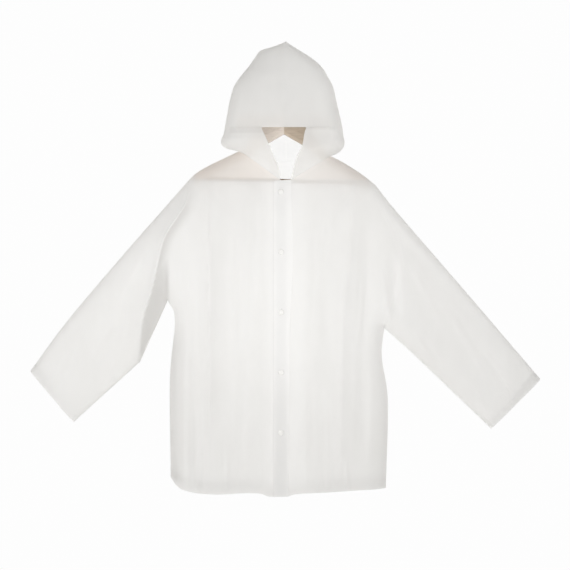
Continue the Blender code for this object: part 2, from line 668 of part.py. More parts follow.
def nape_rows(side):
    """Lower hood on the back, from the side outline to the centre seam."""
    brim = HOOD_LEVELS[0]
    outer = hood_side(side)
    seam = back_neckline(side)
    half = side_x(brim, side) - HOOD_CENTRE
    top = np.stack((HOOD_CENTRE + half * np.array(BACK_NECK_COLUMNS),
                    np.full(len(BACK_NECK_COLUMNS), brim.z)), axis=1)
    up = np.linspace(0, 1, len(outer))
    middle = along(line(seam[0], top[0]), up)
    grid = fill_grid(seam, top, middle, outer, BACK_NECK_COLUMNS, up, HOOD_PULL)
    seam_depth = depth(seam, BACK, side) + SEAM / 2
    rows = []
    for row, share in zip(grid, up):
        across = (row[:, 0] - HOOD_CENTRE) / (row[-1, 0] - HOOD_CENTRE)
        risen = smooth_step(share / NAPE_RISE)
        stand = (1 - risen) * seam_depth + risen * brim.back * ring_depth(across)
        rows.append(np.stack((row[:, 0], stand, row[:, 1]), axis=1)[-2::-1])
    return np.array(rows)


def hood_cells(lower_rows, upper_rows, columns):
    """Triangles of the hood: two blocks that share their edge from the slit to the centre back."""
    lower = grid_cells(lower_rows, columns)
    shift = lower_rows * columns
    shared = {shift + column: (lower_rows - 1) * columns + column
              for column in range(SLIT_COLUMN, columns)}
    upper = [tuple(shared.get(corner + shift, corner + shift) for corner in cell)
             for cell in grid_cells(upper_rows, columns)]
    return lower + upper


def sheet_normals(points, cells):
    """Unit normal at each point, from the faces around it."""
    sums = np.zeros_like(points)
    for a, b, c in cells:
        face = np.cross(points[b] - points[a], points[c] - points[a])
        for corner in (a, b, c):
            sums[corner] += face
    size = np.linalg.norm(sums, axis=1)
    size[size == 0] = 1
    return sums / size[:, None]


def hood_surface(side):
    """Points, normals and triangles of one half of the hood, with its two blocks' shapes."""
    lower = np.concatenate((lobe_rows(side), nape_rows(side)), axis=1)
    pull_back(lower, lower[:, :, ::2], np.s_[0], (0, 1))
    upper = hood_upper(side)
    columns = lower.shape[1]
    points = np.vstack((lower.reshape(-1, 3), upper.reshape(-1, 3)))
    cells = hood_cells(len(lower), len(upper), columns)
    normals = sheet_normals(points, cells)
    if normals[len(NECK_COLUMNS) + columns, 1] * BACK < 0:
        normals = -normals
    on_centre = (points[:, 0] - HOOD_CENTRE) * side < SEAM / 2
    points[on_centre, 0] = HOOD_CENTRE + side * SEAM / 2
    normals[on_centre, 0] = 0
    size = np.linalg.norm(normals, axis=1)
    size[size == 0] = 1
    return points, normals / size[:, None], cells, lower.shape[:2], upper.shape[:2]


def used_only(points, normals, cells):
    """The same sheet without the points that no triangle uses."""
    used = sorted({corner for cell in cells for corner in cell})
    number = {old: new for new, old in enumerate(used)}
    return points[used], normals[used], [tuple(number[c] for c in cell) for cell in cells]


def add_hood(side, film, edge_film):
    """One half of the hood, with the turned-in layers of its brim and its face edge."""
    points, normals, cells, lower, upper = hood_surface(side)
    add_wall(f"hood_{side_name(side)}", *used_only(points, normals, cells), WALL, film)
    lower_points = points[:lower[0] * lower[1]].reshape(*lower, 3)
    lower_normals = normals[:lower[0] * lower[1]].reshape(*lower, 3)
    upper_points = points[lower[0] * lower[1]:].reshape(*upper, 3)
    upper_normals = normals[lower[0] * lower[1]:].reshape(*upper, 3)
    add_layer(f"brim_{side_name(side)}", upper_points[:2, :SLIT_COLUMN],
              upper_normals[:2, :SLIT_COLUMN], -(WALL + SEAM), TURNING, edge_film)
    add_layer(f"face_edge_{side_name(side)}", lower_points[:, :2], lower_normals[:, :2],
              -(WALL + SEAM), TURNING, edge_film)


# ------------------------------------------------------------ closing
def turned_piece(name, profile, radius, height, segments, material):
    """Solid turned about +Z from a profile that starts and ends on the axis."""
    points = [(0.0, 0.0, 0.0)]
    for spot in profile[1:-1]:
        for k in range(segments):
            angle = math.tau * k / segments
            points.append((spot.radius * radius * math.cos(angle),
                           spot.radius * radius * math.sin(angle), spot.height * height))
    points.append((0.0, 0.0, height))
    rings = len(profile) - 2
    last = len(points) - 1
    faces = []
    for k in range(segments):
        after = (k + 1) % segments
        faces.append((0, 1 + after, 1 + k))
        for ring in range(rings - 1):
            low, high = 1 + ring * segments, 1 + (ring + 1) * segments
            faces.append((low + k, low + after, high + after, high + k))
        faces.append((last, last - segments + k, last - segments + after))
    return add_object(name, points, faces, material)


def on_panel(points, normals, x, z):
    """Point and normal of a panel's grid at a place (x, z)."""
    both = np.concatenate((points, normals), axis=2)[:, :SNAP_COLUMNS]
    order = np.argsort(both[0, :, 0])
    line_points = np.array([[np.interp(x, row[order, 0], row[order, k]) for k in range(6)]
                            for row in both])
    found = [np.interp(z, line_points[:, 2], line_points[:, k]) for k in range(6)]
    return Vector(found[:3]), Vector(found[3:]).normalized()


def seat_on(piece, point, normal):
    """Stand a turned piece on a surface point, its axis along the normal."""
    turn = normal.to_track_quat("Z", "Y").to_matrix().to_4x4()
    piece.matrix_world = Matrix.Translation(point) @ turn


def add_snaps(upper_front, under_front, material):
    """Caps on the placket strip and stud rings inside the under front."""
    for count in range(SNAP_COUNT):
        z = SNAP_TOP_Z - count * SNAP_PITCH
        point, normal = on_panel(*upper_front, SNAP_X, z)
        cap = turned_piece(f"snap_{count + 1}", CAP_PROFILE, CAP_RADIUS, CAP_HEIGHT,
                           SNAP_SEGMENTS, material)
        seat_on(cap, point + normal * (SEAM + STRIP + SNAP_GAP), normal)
        point, normal = on_panel(*under_front, SNAP_X, z)
        stud = turned_piece(f"stud_{count + 1}", STUD_PROFILE, STUD_RADIUS, STUD_HEIGHT,
                            SNAP_SEGMENTS, material)
        seat_on(stud, point - normal * (WALL + SNAP_GAP), -normal)


# ------------------------------------------------------------ hanger
def wood_ring(x, top, height, half):
    """Section of a hanger arm at x: narrow and round above, full below."""
    shape = [*WOOD_TOP, (half, WOOD_FULL_DROP), (half, height - WOOD_FOOT_ROUND),
             (WOOD_FOOT_SHARE * half, height - WOOD_FOOT_LIFT), (0.0, height)]
    ring = [(x, y, top - down) for y, down in shape]
    return ring + [(x, -y, top - down) for y, down in shape[-2:0:-1]]


def arm_top(side, share):
    """Top edge of the wood under the shoulder seam, at a share of the shoulder's length."""
    spot = along(SHOULDER[side], [share])
    normal = outline_normal(UPPER_EDGE[side], side, spot)[0]
    return spot[0] - normal * (WALL + WOOD_GAP)


def arm_rings(side):
    """Sections of one arm, from near the centre out to its end."""
    rings = [wood_ring(side * NEAR_CENTRE_X, NEAR_CENTRE_TOP, NEAR_CENTRE_HEIGHT, CENTRE_HALF)]
    shares = np.linspace(ARM_SECTIONS[0].along, ARM_SECTIONS[-1].along, ARM_RING_COUNT)
    table = np.array(ARM_SECTIONS)
    for share in shares:
        x, top = arm_top(side, share)
        height = np.interp(share, table[:, 0], table[:, 1])
        half = np.interp(share, table[:, 0], table[:, 2])
        rings.append(wood_ring(x, top, height, half))
    return rings


def close_loft(rings):
    """Points and faces of a solid through rings of equal count."""
    count = len(rings[0])
    faces = [tuple(range(count)), tuple(range((len(rings) - 1) * count, len(rings) * count))]
    for ring in range(len(rings) - 1):
        for k in range(count):
            after = (k + 1) % count
            low, high = ring * count, (ring + 1) * count
            faces.append((low + k, low + after, high + after, high + k))
    return [point for ring in rings for point in ring], faces


def add_rod(name, start, end, radius, material):
    """Round rod between two points of the plane y = 0."""
    start, end = Vector((start[0], 0, start[1])), Vector((end[0], 0, end[1]))
    rod = turned_piece(name, ROD_PROFILE, radius, (end - start).length, ROD_SEGMENTS, material)
    seat_on(rod, start, (end - start).normalized())
    return rod


def cut_with(piece, cutter):
    """Take a guide's shape out of a piece; the guide itself isn't part of the object."""
    cutter.hide_render = True
    cutter.display_type = "WIRE"
    cut = piece.modifiers.new(cutter.name, "BOOLEAN")
    cut.operation = "DIFFERENCE"
    cut.object = cutter


def hook_path():
    """Centre line of the hook's wire, from inside the wood up and round the hook."""
    radius = HOOK_RADIUS + WIRE_RADIUS
    centre_z = WIRE_RADIUS - radius
    angles = [HOOK_START + HOOK_TURN * k / (HOOK_POINTS - 1) for k in range(HOOK_POINTS)]
    arc = [(radius * math.cos(angle), centre_z + radius * math.sin(angle)) for angle in angles]
    stem_top = CENTRE_TOP + STEM_LENGTH
    bend = [(row.out * arc[0][0], stem_top + row.rise) for row in HOOK_BEND]
    return [(0.0, CENTRE_TOP - STEM_DEPTH), (0.0, CENTRE_TOP), *bend, *arc]


def add_hook(material):
    """Wire hook, whose inside top is the origin."""
    path = hook_path()
    curve = bpy.data.curves.new("hanger_hook", "CURVE")
    curve.dimensions = "3D"
    curve.bevel_depth = WIRE_RADIUS
    curve.bevel_resolution = 2
    curve.use_fill_caps = True
    spline = curve.splines.new("POLY")
    spline.points.add(len(path) - 1)
    for point, (x, z) in zip(spline.points, path):
        point.co = (x, 0, z, 1)
    curve.materials.append(material)
    hook = bpy.data.objects.new("hanger_hook", curve)
    bpy.context.collection.objects.link(hook)


def add_hanger(wood, steel):
    """Wooden arms with the trouser bar let into their ends, and the hook."""
    centre = wood_ring(0.0, CENTRE_TOP, CENTRE_HEIGHT, CENTRE_HALF)
    rings = [*arm_rings(RIGHT)[::-1], centre, *arm_rings(LEFT)]
    arms = add_object("hanger_arms", *close_loft(rings), wood)
    add_rod("hanger_bar", BAR_RIGHT, BAR_LEFT, BAR_RADIUS, wood)
    slope = np.array(BAR_LEFT) - np.array(BAR_RIGHT)
    spare = slope / np.linalg.norm(slope) * SEAM
    cut_with(arms, add_rod("bar_socket", BAR_RIGHT - spare, BAR_LEFT + spare,
                           BAR_RADIUS + SEAM, wood))
    cut_with(arms, add_rod("stem_socket", (0, CENTRE_TOP - STEM_DEPTH - SEAM),
                           (0, CENTRE_TOP + SOCKET_OVERRUN), WIRE_RADIUS + SEAM, wood))
    add_hook(steel)


# ------------------------------------------------------------ the whole object
def make_material(name, colour, roughness, metallic=0.0):
    """Plain finish of a sub-part."""
    material = bpy.data.materials.new(name)
    material.use_nodes = True
    shader = material.node_tree.nodes["Principled BSDF"]
    shader.inputs["Base Color"].default_value = (*colour, 1)
    shader.inputs["Roughness"].default_value = roughness
    shader.inputs["Metallic"].default_value = metallic
    material.diffuse_color = (*colour, 1)
    return material


def main():
    """Build the jacket and its hanger."""
    for old in list(bpy.data.objects):
        bpy.data.objects.remove(old, do_unlink=True)
    film = make_material("frosted_film", FILM, 0.45)
    edge_film = make_material("doubled_film", FILM_EDGE, 0.45)
    fronts = {side: add_front(side, film, edge_film) for side in (RIGHT, LEFT)}
    lap_points, lap_normals = (values[:, :PLACKET_COLUMNS] for values in fronts[LEFT])
    add_layer("placket", lap_points, lap_normals, SEAM + STRIP, STRIP, edge_film)
    add_back(film, edge_film)
    for side in (RIGHT, LEFT):
        add_sleeve(side, film, edge_film)
        add_hood(side, film, edge_film)
    add_snaps(fronts[LEFT], fronts[RIGHT], make_material("snap_plastic", SNAP_WHITE, 0.35))
    add_hanger(make_material("varnished_wood", WOOD, 0.4),
               make_material("plated_wire", STEEL, 0.25, 1.0))


main()
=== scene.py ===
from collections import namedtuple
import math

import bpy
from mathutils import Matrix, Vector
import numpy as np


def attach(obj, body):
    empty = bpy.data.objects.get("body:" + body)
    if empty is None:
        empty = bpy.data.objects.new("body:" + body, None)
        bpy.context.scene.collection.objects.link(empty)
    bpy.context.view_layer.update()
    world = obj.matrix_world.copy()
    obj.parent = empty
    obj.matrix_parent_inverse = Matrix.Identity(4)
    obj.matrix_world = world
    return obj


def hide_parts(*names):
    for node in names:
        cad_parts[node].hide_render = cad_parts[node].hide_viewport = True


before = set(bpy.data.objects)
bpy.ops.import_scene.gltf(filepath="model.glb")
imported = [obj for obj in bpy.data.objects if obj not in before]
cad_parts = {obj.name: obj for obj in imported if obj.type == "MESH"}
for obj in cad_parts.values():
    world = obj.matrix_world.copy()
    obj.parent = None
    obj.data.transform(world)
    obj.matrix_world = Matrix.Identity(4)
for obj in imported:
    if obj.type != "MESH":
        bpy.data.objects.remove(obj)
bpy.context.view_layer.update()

# Looks of the hooded rain jacket on its wooden hanger. The film is drawn as thin
# shells on the outer face of each solid, with finer folds. Outline and depth are
# the solids' own, apart from the closing's top end, the lower hood's edge behind
# the brim, the crease of the wearer's right sleeve and the hanger's ring beside
# the neck. Metres, +Z up, the front faces -Y, and the wearer's right is at -X.

# ---- driving sizes
RIGHT, LEFT = -1, 1  # the wearer's sides, as the sign of x
FRONT, BACK = -1, 1  # the two faces, as the sign of y
SIDES = (RIGHT, LEFT)
SIDE_NAME = {RIGHT: "right", LEFT: "left"}

FILM = 0.0006  # thickness of a layer of film as it is drawn
LAYER_GAP = 0.0003  # air between two layers that lie on each other
OUTER_LAYER = FILM + LAYER_GAP  # how far a layer that lies on a panel is moved out
INNER_LAYER = -OUTER_LAYER  # and one inside it
EDGE_SHARE = 0.25  # an inner layer keeps to its own face along a folded edge
SEAM = 0.0003  # gap between the front and the back where they are joined
JOIN = 0.0001  # gap seen along a joint
LAP_DROP = 0.0018  # the under front lies this much further in at the closing
HEM_DROP = 0.004  # the back hem ends this much above the front hem

Place = namedtuple("Place", "right_x right_z left_x left_z")
OUTLINE = {
    "neck": Place(-0.108, -0.161, 0.115, -0.174),
    "shoulder_in": Place(-0.181, -0.196, 0.149, -0.192),
    "shoulder_out": Place(-0.215, -0.216, 0.191, -0.219),
    "tip": Place(-0.234, -0.234, 0.223, -0.244),
    "upper_arm": Place(-0.406, -0.430, 0.280, -0.315),
    "forearm": Place(-0.533, -0.581, 0.450, -0.512),
    "cuff_top": Place(-0.620, -0.699, 0.627, -0.719),
    "cuff_under": Place(-0.514, -0.824, 0.506, -0.840),
    "elbow": Place(-0.352, -0.677, 0.312, -0.654),
    "armpit": Place(-0.284, -0.526, 0.245, -0.594),
    "waist": Place(-0.267, -0.575, 0.239, -0.663),
    "hip": Place(-0.279, -0.721, 0.254, -0.775),
    "hem_corner": Place(-0.277, -0.958, 0.249, -0.984),
    "armhole_low": Place(-0.303, -0.425, 0.284, -0.455),
    "armhole_mid": Place(-0.289, -0.364, 0.272, -0.375),
    "armhole_high": Place(-0.242, -0.293, 0.238, -0.300),
    # The closing's top end, 5 and 3.5 mm below the solids', so that the hanger's bar shows.
    "hood_end": Place(-0.010, -0.2325, 0.017, -0.2325),
    "lap_edge": Place(0.005, -0.2355, -0.024, -0.2355),
}
HEM_MIDDLE = [(-0.253, -0.983), (-0.215, -0.994), (-0.165, -0.998), (-0.100, -0.995),
              (-0.058, -0.996), (-0.036, -1.003), (0.006, -1.003), (0.030, -0.997),
              (0.090, -0.994), (0.150, -0.990)]
BACK_NECK = (0.005, -0.190)
BACK_NECK_SAG = 0.006

# Depth of the cloth on each face: of the body at four heights, and of the sleeves.
BODY_DEPTH_Z = (-1.000, -0.600, -0.300, -0.160)
BODY_DEPTH = {FRONT: (0.042, 0.035, 0.029, 0.024), BACK: (0.028, 0.023, 0.019, 0.017)}
SLEEVE_DEPTH = {FRONT: 0.021, BACK: 0.017}
EDGE_ROUND = {FRONT: 0.050, BACK: 0.032}  # the cloth rounds off this near to its edges

# Fades: the place where a share is 0, and the place where it is 1.
SLEEVE_FADE = 0.24, 0.40  # from the body's depth to the sleeve's, in |x|
LAP_FADE = -0.058, -0.030  # the under front's drop, in x

# Folds: a straight run from top to bottom, its height (less than 0: a trough), how far it
# reaches towards -X and towards +X (as far, if not said), and whether it is creased to an edge.
Fold = namedtuple("Fold", "top_x top_z bottom_x bottom_z rise low_reach high_reach creased",
                  defaults=(None, False))
FOLDS = {
    FRONT: [
        Fold(-0.184, -0.22, -0.177, -0.98, 0.0125, 0.040, 0.052, True),
        Fold(-0.240, -0.60, -0.236, -1.01, -0.010, 0.030, 0.026),
        Fold(-0.205, -0.76, -0.215, -1.05, 0.005, 0.026, 0.018),
        Fold(0.178, -0.20, 0.140, -0.62, 0.0075, 0.040, 0.050, True),
        Fold(0.144, -0.44, 0.136, -1.00, 0.0075, 0.040, 0.055, True),
        Fold(0.202, -0.30, 0.186, -0.96, -0.0040, 0.024, 0.036),
        Fold(0.262, -0.40, 0.276, -0.58, -0.005, 0.020),
        Fold(-0.226, -0.42, -0.232, -0.72, -0.0014, 0.010),
        Fold(-0.128, -0.30, -0.118, -0.66, 0.0016, 0.016),
        Fold(-0.094, -0.62, -0.112, -1.04, -0.0020, 0.018),
        Fold(-0.066, -0.27, -0.078, -0.58, -0.0012, 0.014),
        Fold(-0.140, -0.86, -0.134, -1.06, 0.0018, 0.012),
        Fold(0.092, -0.28, 0.078, -0.70, 0.0014, 0.018),
        Fold(0.062, -0.66, 0.070, -1.05, -0.0018, 0.016),
        Fold(0.104, -0.72, 0.110, -1.06, 0.0016, 0.014),
        Fold(0.196, -0.44, 0.182, -0.64, 0.0020, 0.010),
        Fold(0.214, -0.66, 0.206, -0.96, 0.0018, 0.012),
        Fold(0.150, -0.90, 0.156, -1.04, 0.0022, 0.010),
        Fold(0.236, -0.44, 0.262, -0.60, 0.0018, 0.009),
        Fold(-0.262, -0.44, -0.250, -0.62, -0.0018, 0.010),
        Fold(-0.330, -0.37, -0.420, -0.56, 0.0016, 0.016),
        Fold(-0.380, -0.55, -0.470, -0.70, -0.0018, 0.014),
        Fold(-0.400, -0.66, -0.452, -0.80, 0.0016, 0.010),
        Fold(-0.500, -0.62, -0.560, -0.76, -0.0014, 0.012),
        Fold(0.300, -0.42, 0.392, -0.60, 0.0018, 0.016),
        Fold(0.330, -0.60, 0.420, -0.76, -0.0018, 0.012),
        Fold(0.400, -0.55, 0.500, -0.72, 0.0014, 0.016),
        Fold(0.480, -0.64, 0.560, -0.77, -0.0014, 0.012),
        Fold(-0.196, -0.215, -0.150, -0.30, -0.0012, 0.012),
        Fold(0.180, -0.225, 0.130, -0.31, -0.0012, 0.012),
    ],
    BACK: [
        Fold(-0.190, -0.25, -0.176, -0.86, 0.006, 0.030, 0.018),
        Fold(-0.120, -0.36, -0.105, -0.95, -0.005, 0.022, 0.040),
        Fold(0.062, -0.34, 0.080, -1.05, 0.005, 0.040, 0.022),
        Fold(0.172, -0.27, 0.160, -0.80, -0.006, 0.028),
        Fold(-0.204, -0.34, -0.190, -0.72, 0.0016, 0.010),
        Fold(-0.150, -0.30, -0.138, -0.80, -0.0014, 0.014),
        Fold(-0.060, -0.40, -0.052, -0.98, 0.0016, 0.018),
        Fold(0.010, -0.32, 0.000, -0.74, -0.0014, 0.016),
        Fold(0.110, -0.34, 0.124, -0.92, -0.0018, 0.014),
        Fold(0.150, -0.60, 0.142, -1.04, 0.0016, 0.012),
        Fold(0.204, -0.36, 0.196, -0.78, 0.0014, 0.010),
        Fold(-0.220, -0.66, -0.214, -1.02, 0.0014, 0.014),
        Fold(-0.350, -0.44, -0.430, -0.62, 0.0014, 0.016),
        Fold(-0.420, -0.62, -0.500, -0.76, -0.0014, 0.012),
        Fold(0.310, -0.44, 0.410, -0.62, 0.0014, 0.016),
        Fold(0.380, -0.60, 0.470, -0.76, -0.0014, 0.012),
    ],
}
FOLD_FADE = 0.25  # share of a fold's length over which it fades at each end
# The wearer's right sleeve creases from the shoulder to the elbow. The underarm falls away
# from the crease, straight for the most part of its slope.
SLEEVE_CREASE = [(-0.230, -0.257), (-0.242, -0.293), (-0.262, -0.325), (-0.289, -0.367),
                 (-0.303, -0.411), (-0.323, -0.501), (-0.345, -0.575), (-0.355, -0.668)]
CREASE_RISE, CREASE_LOW_REACH, CREASE_HIGH_REACH = 0.0110, 0.040, 0.032
CREASE_TOP, CREASE_LOW = (-0.247, -0.297), (-0.688, -0.638)  # fades in z
UNDERARM_SLOPE = 0.9  # 1: the slope is straight from the crease to the edge
UNDERARM_TOP, UNDERARM_LOW = (-0.40, -0.47), (-0.70, -0.63)  # fades in z
UNDERARM_SIDE = -0.275, -0.295  # fade in x
TINY = 1e-6  # least width that is divided by
# Painted shade beside the crease, where the film is folded under: how it fades away from
# the crease, and over which stretch the whole underarm counts as folded and shaded.
CREASE_SHADE_EDGE, CREASE_SHADE_BESIDE = (0, 0.005), (0.034, 0)
CREASE_SHADE_TOP, CREASE_SHADE_LOW = (-0.257, -0.317), (-0.688, -0.648)
CREASE_SHADE_UNDERARM, CREASE_SHADE_SIDE = (-0.38, -0.48), (-0.275, -0.287)
# Painted shade on the front: soft-edged patches, and how deep the shade is in each.
Shade = namedtuple("Shade", "low_x high_x low_z high_z soft_x soft_z share")
SHADES = [
    # Painted shadow of the brim on the lower hood, on the wearer's right and left.
    Shade(-0.136, -0.050, -0.122, -0.1015, 0.008, 0.005, 0.40),
    Shade(0.046, 0.128, -0.114, -0.1015, 0.008, 0.005, 0.36),
    # Painted shade on the lower side of the wearer's right front.
    Shade(-0.300, -0.230, -1.100, -0.560, 0.022, 0.100, 0.45),
    # Painted shade that darkens the front towards the hem.
    Shade(-0.400, 0.400, -1.400, -0.600, 0.100, 0.320, 0.20),
    # Painted shadow of the hanger's bar, on the wearer's right and left.
    Shade(-0.226, -0.012, -0.2385, -0.2265, 0.010, 0.005, 0.20),
    Shade(0.020, 0.222, -0.2430, -0.2310, 0.010, 0.005, 0.06),
]
# Painted warm light from the hanger's wood on the film over its arms, less on the wearer's left.
WOOD_LIGHT_LOW, WOOD_LIGHT_SIDE = (-0.236, -0.228), (0.235, 0.205)
WOOD_LIGHT_SHARE = {RIGHT: 1, LEFT: 0.6}
# The back of the neck, one layer of film against the light: fades in x from the middle, in z
# and in y.
NAPE_SIDE, NAPE_TOP, NAPE_BACK = (0.065, 0.035), (-0.085, -0.115), (-0.002, 0.004)
# Uneven hang of the film: waves across the plane, as waves per metre in x and z, and height.
Wave = namedtuple("Wave", "per_x per_z shift height")
WAVES = [
    Wave(9.0, 2.3, 0.4, 0.00035),
    Wave(-5.1, 6.7, 1.9, 0.00030),
    Wave(17.0, -3.9, 3.1, 0.00018),
    Wave(11.3, 13.1, 5.2, 0.00012),
]

Level = namedtuple("Level", "z right_x left_x front back")
HOOD_CENTRE = 0.005
HOOD_LEVELS = [
    Level(-0.106, -0.145, 0.143, 0.052, 0.040),
    Level(-0.078, -0.140, 0.137, 0.052, 0.041),
    Level(-0.040, -0.133, 0.128, 0.051, 0.042),
    Level(-0.005, -0.123, 0.120, 0.049, 0.042),
    Level(0.020, -0.107, 0.107, 0.047, 0.041),
    Level(0.043, -0.088, 0.093, 0.043, 0.039),
    Level(0.064, -0.073, 0.070, 0.039, 0.036),
    Level(0.083, -0.058, 0.040, 0.033, 0.031),
    Level(0.093, -0.027, 0.024, 0.028, 0.027),
    Level(0.105, HOOD_CENTRE, HOOD_CENTRE, 0.020, 0.020),
]
LOBE_OUTLINE = [
    Place(-0.135, -0.157, 0.133, -0.166),
    Place(-0.151, -0.148, 0.145, -0.153),
    Place(-0.154, -0.136, 0.148, -0.140),
    Place(-0.148, -0.121, 0.145, -0.124),
]
FACE_EDGE = [
    Place(-0.013, -0.205, 0.024, -0.205),
    Place(-0.022, -0.183, 0.031, -0.179),
    Place(-0.039, -0.142, 0.044, -0.151),
    Place(-0.055, -0.108, 0.052, -0.112),
]
# Top edge of the lower hood: place along the neckline, place across the half width,
# height over the brim edge, and how far it is tucked in behind the brim.
Tuck = namedtuple("Tuck", "seam across lift depth")
LOBE_TOP = [
    Tuck(0.0, 0.46, 0.012, 0.0070),
    Tuck(0.25, 0.57, 0.010, 0.0070),
    Tuck(0.48, 0.67, 0.006, 0.0060),
    Tuck(0.68, 0.76, 0.001, 0.0040),
    Tuck(0.835, 0.835, 0.0, 0.0),
    Tuck(0.95, 0.95, 0.0, 0.0),
    Tuck(1.0, 1.0, 0.0, 0.0),
]
SLIT_END = 0.835  # where the brim parts from the lower hood, across the half width
RING_POWER = 2.4  # roundness of the hood's cross-section; 2 is an ellipse
HOOD_PULL = 3  # how closely the lower hood's side follows its outline
LOBE_RISE, NAPE_RISE = 0.7, 0.8  # the lower hood reaches its full depth at this height
BRIM_TURNING = 0.026  # height of the turned-in edge over the face opening
FACE_TURNING = 0.25  # share of the lower hood's width under its turned-in edge

# Shares of the hem under the lap and the neckline, and of the height below the armpit.
LAP_SHARE, NECK_SHARE, BACK_NECK_SHARE = 0.12, 0.50, 0.38
ARMPIT_HEIGHT = 0.56
HEM_SHARE = 0.065  # share of the side seam that the turned-up hem covers
CUFF_SHARE = 0.04  # share of the sleeve that the turned-in cuff covers

# Ring of the hanger's arms beside the neck: its |x|, its under edge, its height, and how
# much higher its top edge is drawn than the solid's.
NECK_RING_X, NECK_RING_Z, NECK_RING_HEIGHT, NECK_LIFT = 0.052, -0.151, 0.027, 0.0215
NECK_RING_NEAR = 0.001  # points this near to its place are the ring's

SNAP_X = -0.007
SNAP_TOP_Z, SNAP_PITCH, SNAP_COUNT = -0.262, 0.1465, 5
# Halves of a snap: the front that each stands on, which way (1: outwards) and how far off its
# sheet. A profile's rows are shares of the radius and of the height.
Turn = namedtuple("Turn", "radius height")
Half = namedtuple("Half", "node side way lift radius height profile")
SNAP_HALVES = [
    Half("snap", LEFT, 1, OUTER_LAYER + LAYER_GAP, 0.0068, 0.0022, [
        Turn(0, 0), Turn(0.94, 0), Turn(1, 0.14), Turn(1, 0.34), Turn(0.93, 0.58),
        Turn(0.80, 0.80), Turn(0.66, 0.90), Turn(0.60, 0.86), Turn(0.54, 0.78),
        Turn(0.44, 0.82), Turn(0.30, 0.92), Turn(0.14, 0.99), Turn(0, 1)]),
    Half("stud", RIGHT, -1, OUTER_LAYER, 0.0058, 0.0020, [
        Turn(0, 0), Turn(0.95, 0), Turn(1, 0.12), Turn(1, 0.30), Turn(0.90, 0.45),
        Turn(0.66, 0.50), Turn(0.60, 0.60), Turn(0.56, 0.90), Turn(0.46, 1),
        Turn(0.34, 0.94), Turn(0.26, 0.66), Turn(0, 0.60)]),
]
TURN_SEGMENTS = 40
SHARP_ANGLE = math.radians(40)
CURVE_STEPS, CREASE_STEPS = 24, 8  # points between two places of an outline, of the crease
HOOD_STEPS = 9  # grid rows for each row of the hood's tables


# ---- curves in the plane
def place(record, side):
    """The (x, z) of an outline record on one side."""
    return np.array(record[:2] if side == RIGHT else record[2:])


def smooth_curve(points, steps=CURVE_STEPS):
    """Catmull-Rom curve through the points, as a close polyline."""
    points = np.asarray(points, float)
    padded = np.vstack((2 * points[0] - points[1], points, 2 * points[-1] - points[-2]))
    curve = [points[0]]
    for before, start, end, after in zip(padded, padded[1:], padded[2:], padded[3:]):
        for step in range(1, steps + 1):
            t = step / steps
            curve.append(0.5 * (2 * start + (end - before) * t
                                + (2 * before - 5 * start + 4 * end - after) * t ** 2
                                + (3 * start - before - 3 * end + after) * t ** 3))
    return np.array(curve)


def along(curve, fractions):
    """Points of the polyline at fractions of its length."""
    steps = np.linalg.norm(np.diff(curve, axis=0), axis=1)
    run = np.concatenate(([0.0], np.cumsum(steps)))
    wanted = np.asarray(fractions, float) * run[-1]
    return np.stack([np.interp(wanted, run, values) for values in curve.T], axis=1)


def named_curve(side, *names):
    """Smooth curve through named places of the outline."""
    return smooth_curve([place(OUTLINE[name], side) for name in names])


def straight(start, end, fractions):
    """Points of the straight edge between two points, at fractions of its length."""
    return along(np.array((start, end), float), fractions)


SHOULDER = {side: named_curve(side, "neck", "shoulder_in", "shoulder_out", "tip")
            for side in SIDES}
ARMHOLE = {side: named_curve(side, "armpit", "armhole_low", "armhole_mid", "armhole_high", "tip")
           for side in SIDES}
SIDE_SEAM = {side: named_curve(side, "hem_corner", "hip", "waist", "armpit") for side in SIDES}
SLEEVE_TOP = {side: named_curve(side, "tip", "upper_arm", "forearm", "cuff_top")
              for side in SIDES}
SLEEVE_UNDER = {side: np.array([place(OUTLINE[name], side)
                                for name in ("armpit", "elbow", "cuff_under")])
                for side in SIDES}
HEM = smooth_curve([place(OUTLINE["hem_corner"], RIGHT), *HEM_MIDDLE,
                    place(OUTLINE["hem_corner"], LEFT)])
EDGES = [np.vstack((first[side], last[side][1:])) for side in SIDES
         for first, last in ((SHOULDER, SLEEVE_TOP), (SIDE_SEAM, SLEEVE_UNDER))]
CREASE = smooth_curve(SLEEVE_CREASE, CREASE_STEPS)


# ---- depth of the cloth
def from_steps(curve, points):
    """Steps of a polyline, and how far each point lies from each step's start and from the step."""
    steps = np.diff(curve, axis=0)
    offset = points[:, None, :] - curve[None, :-1]
    share = np.clip((offset * steps).sum(2) / (steps ** 2).sum(1), 0, 1)
    return steps, offset, np.linalg.norm(offset - share[..., None] * steps, axis=2)


def nearest(curves, points):
    """Distance of each point from the nearest of some polylines."""
    return np.min([from_steps(curve, points)[2].min(1) for curve in curves], axis=0)


def beside_crease(points):
    """Signed distance of each point from the sleeve's crease, positive towards the body."""
    steps, offset, away = from_steps(CREASE, points)
    index = np.arange(len(points)), away.argmin(1)
    step, offset = steps[index[1]], offset[index]
    return away[index] * np.sign(offset[:, 1] * step[:, 0] - offset[:, 0] * step[:, 1])


def ease(value, start, end):
    """0 at the start, 1 at the end, and an even S between."""
    share = np.clip((value - start) / (end - start), 0, 1)
    return share * share * (3 - 2 * share)


def window(value, low, high, soft):
    """1 between two places, with an even S down to 0 at each of them."""
    return ease(value, low, low + soft) * ease(value, high, high - soft)


def fold_height(fold, points):
    """Soft ridge or trough, fading at both ends of the fold."""
    top = np.array((fold.top_x, fold.top_z))
    run = np.array((fold.bottom_x, fold.bottom_z)) - top
    size = np.linalg.norm(run)
    offset = points - top
    aside = (offset[:, 0] * -run[1] + offset[:, 1] * run[0]) / size
    reach = np.where(aside < 0, fold.low_reach, fold.high_reach or fold.low_reach)
    near = np.clip(np.abs(aside) / reach, 0, 1)
    across = (1 - near) ** 2 if fold.creased else np.cos(np.pi / 2 * near) ** 2
    return fold.rise * across * window(offset @ run / size ** 2, 0, 1, FOLD_FADE)


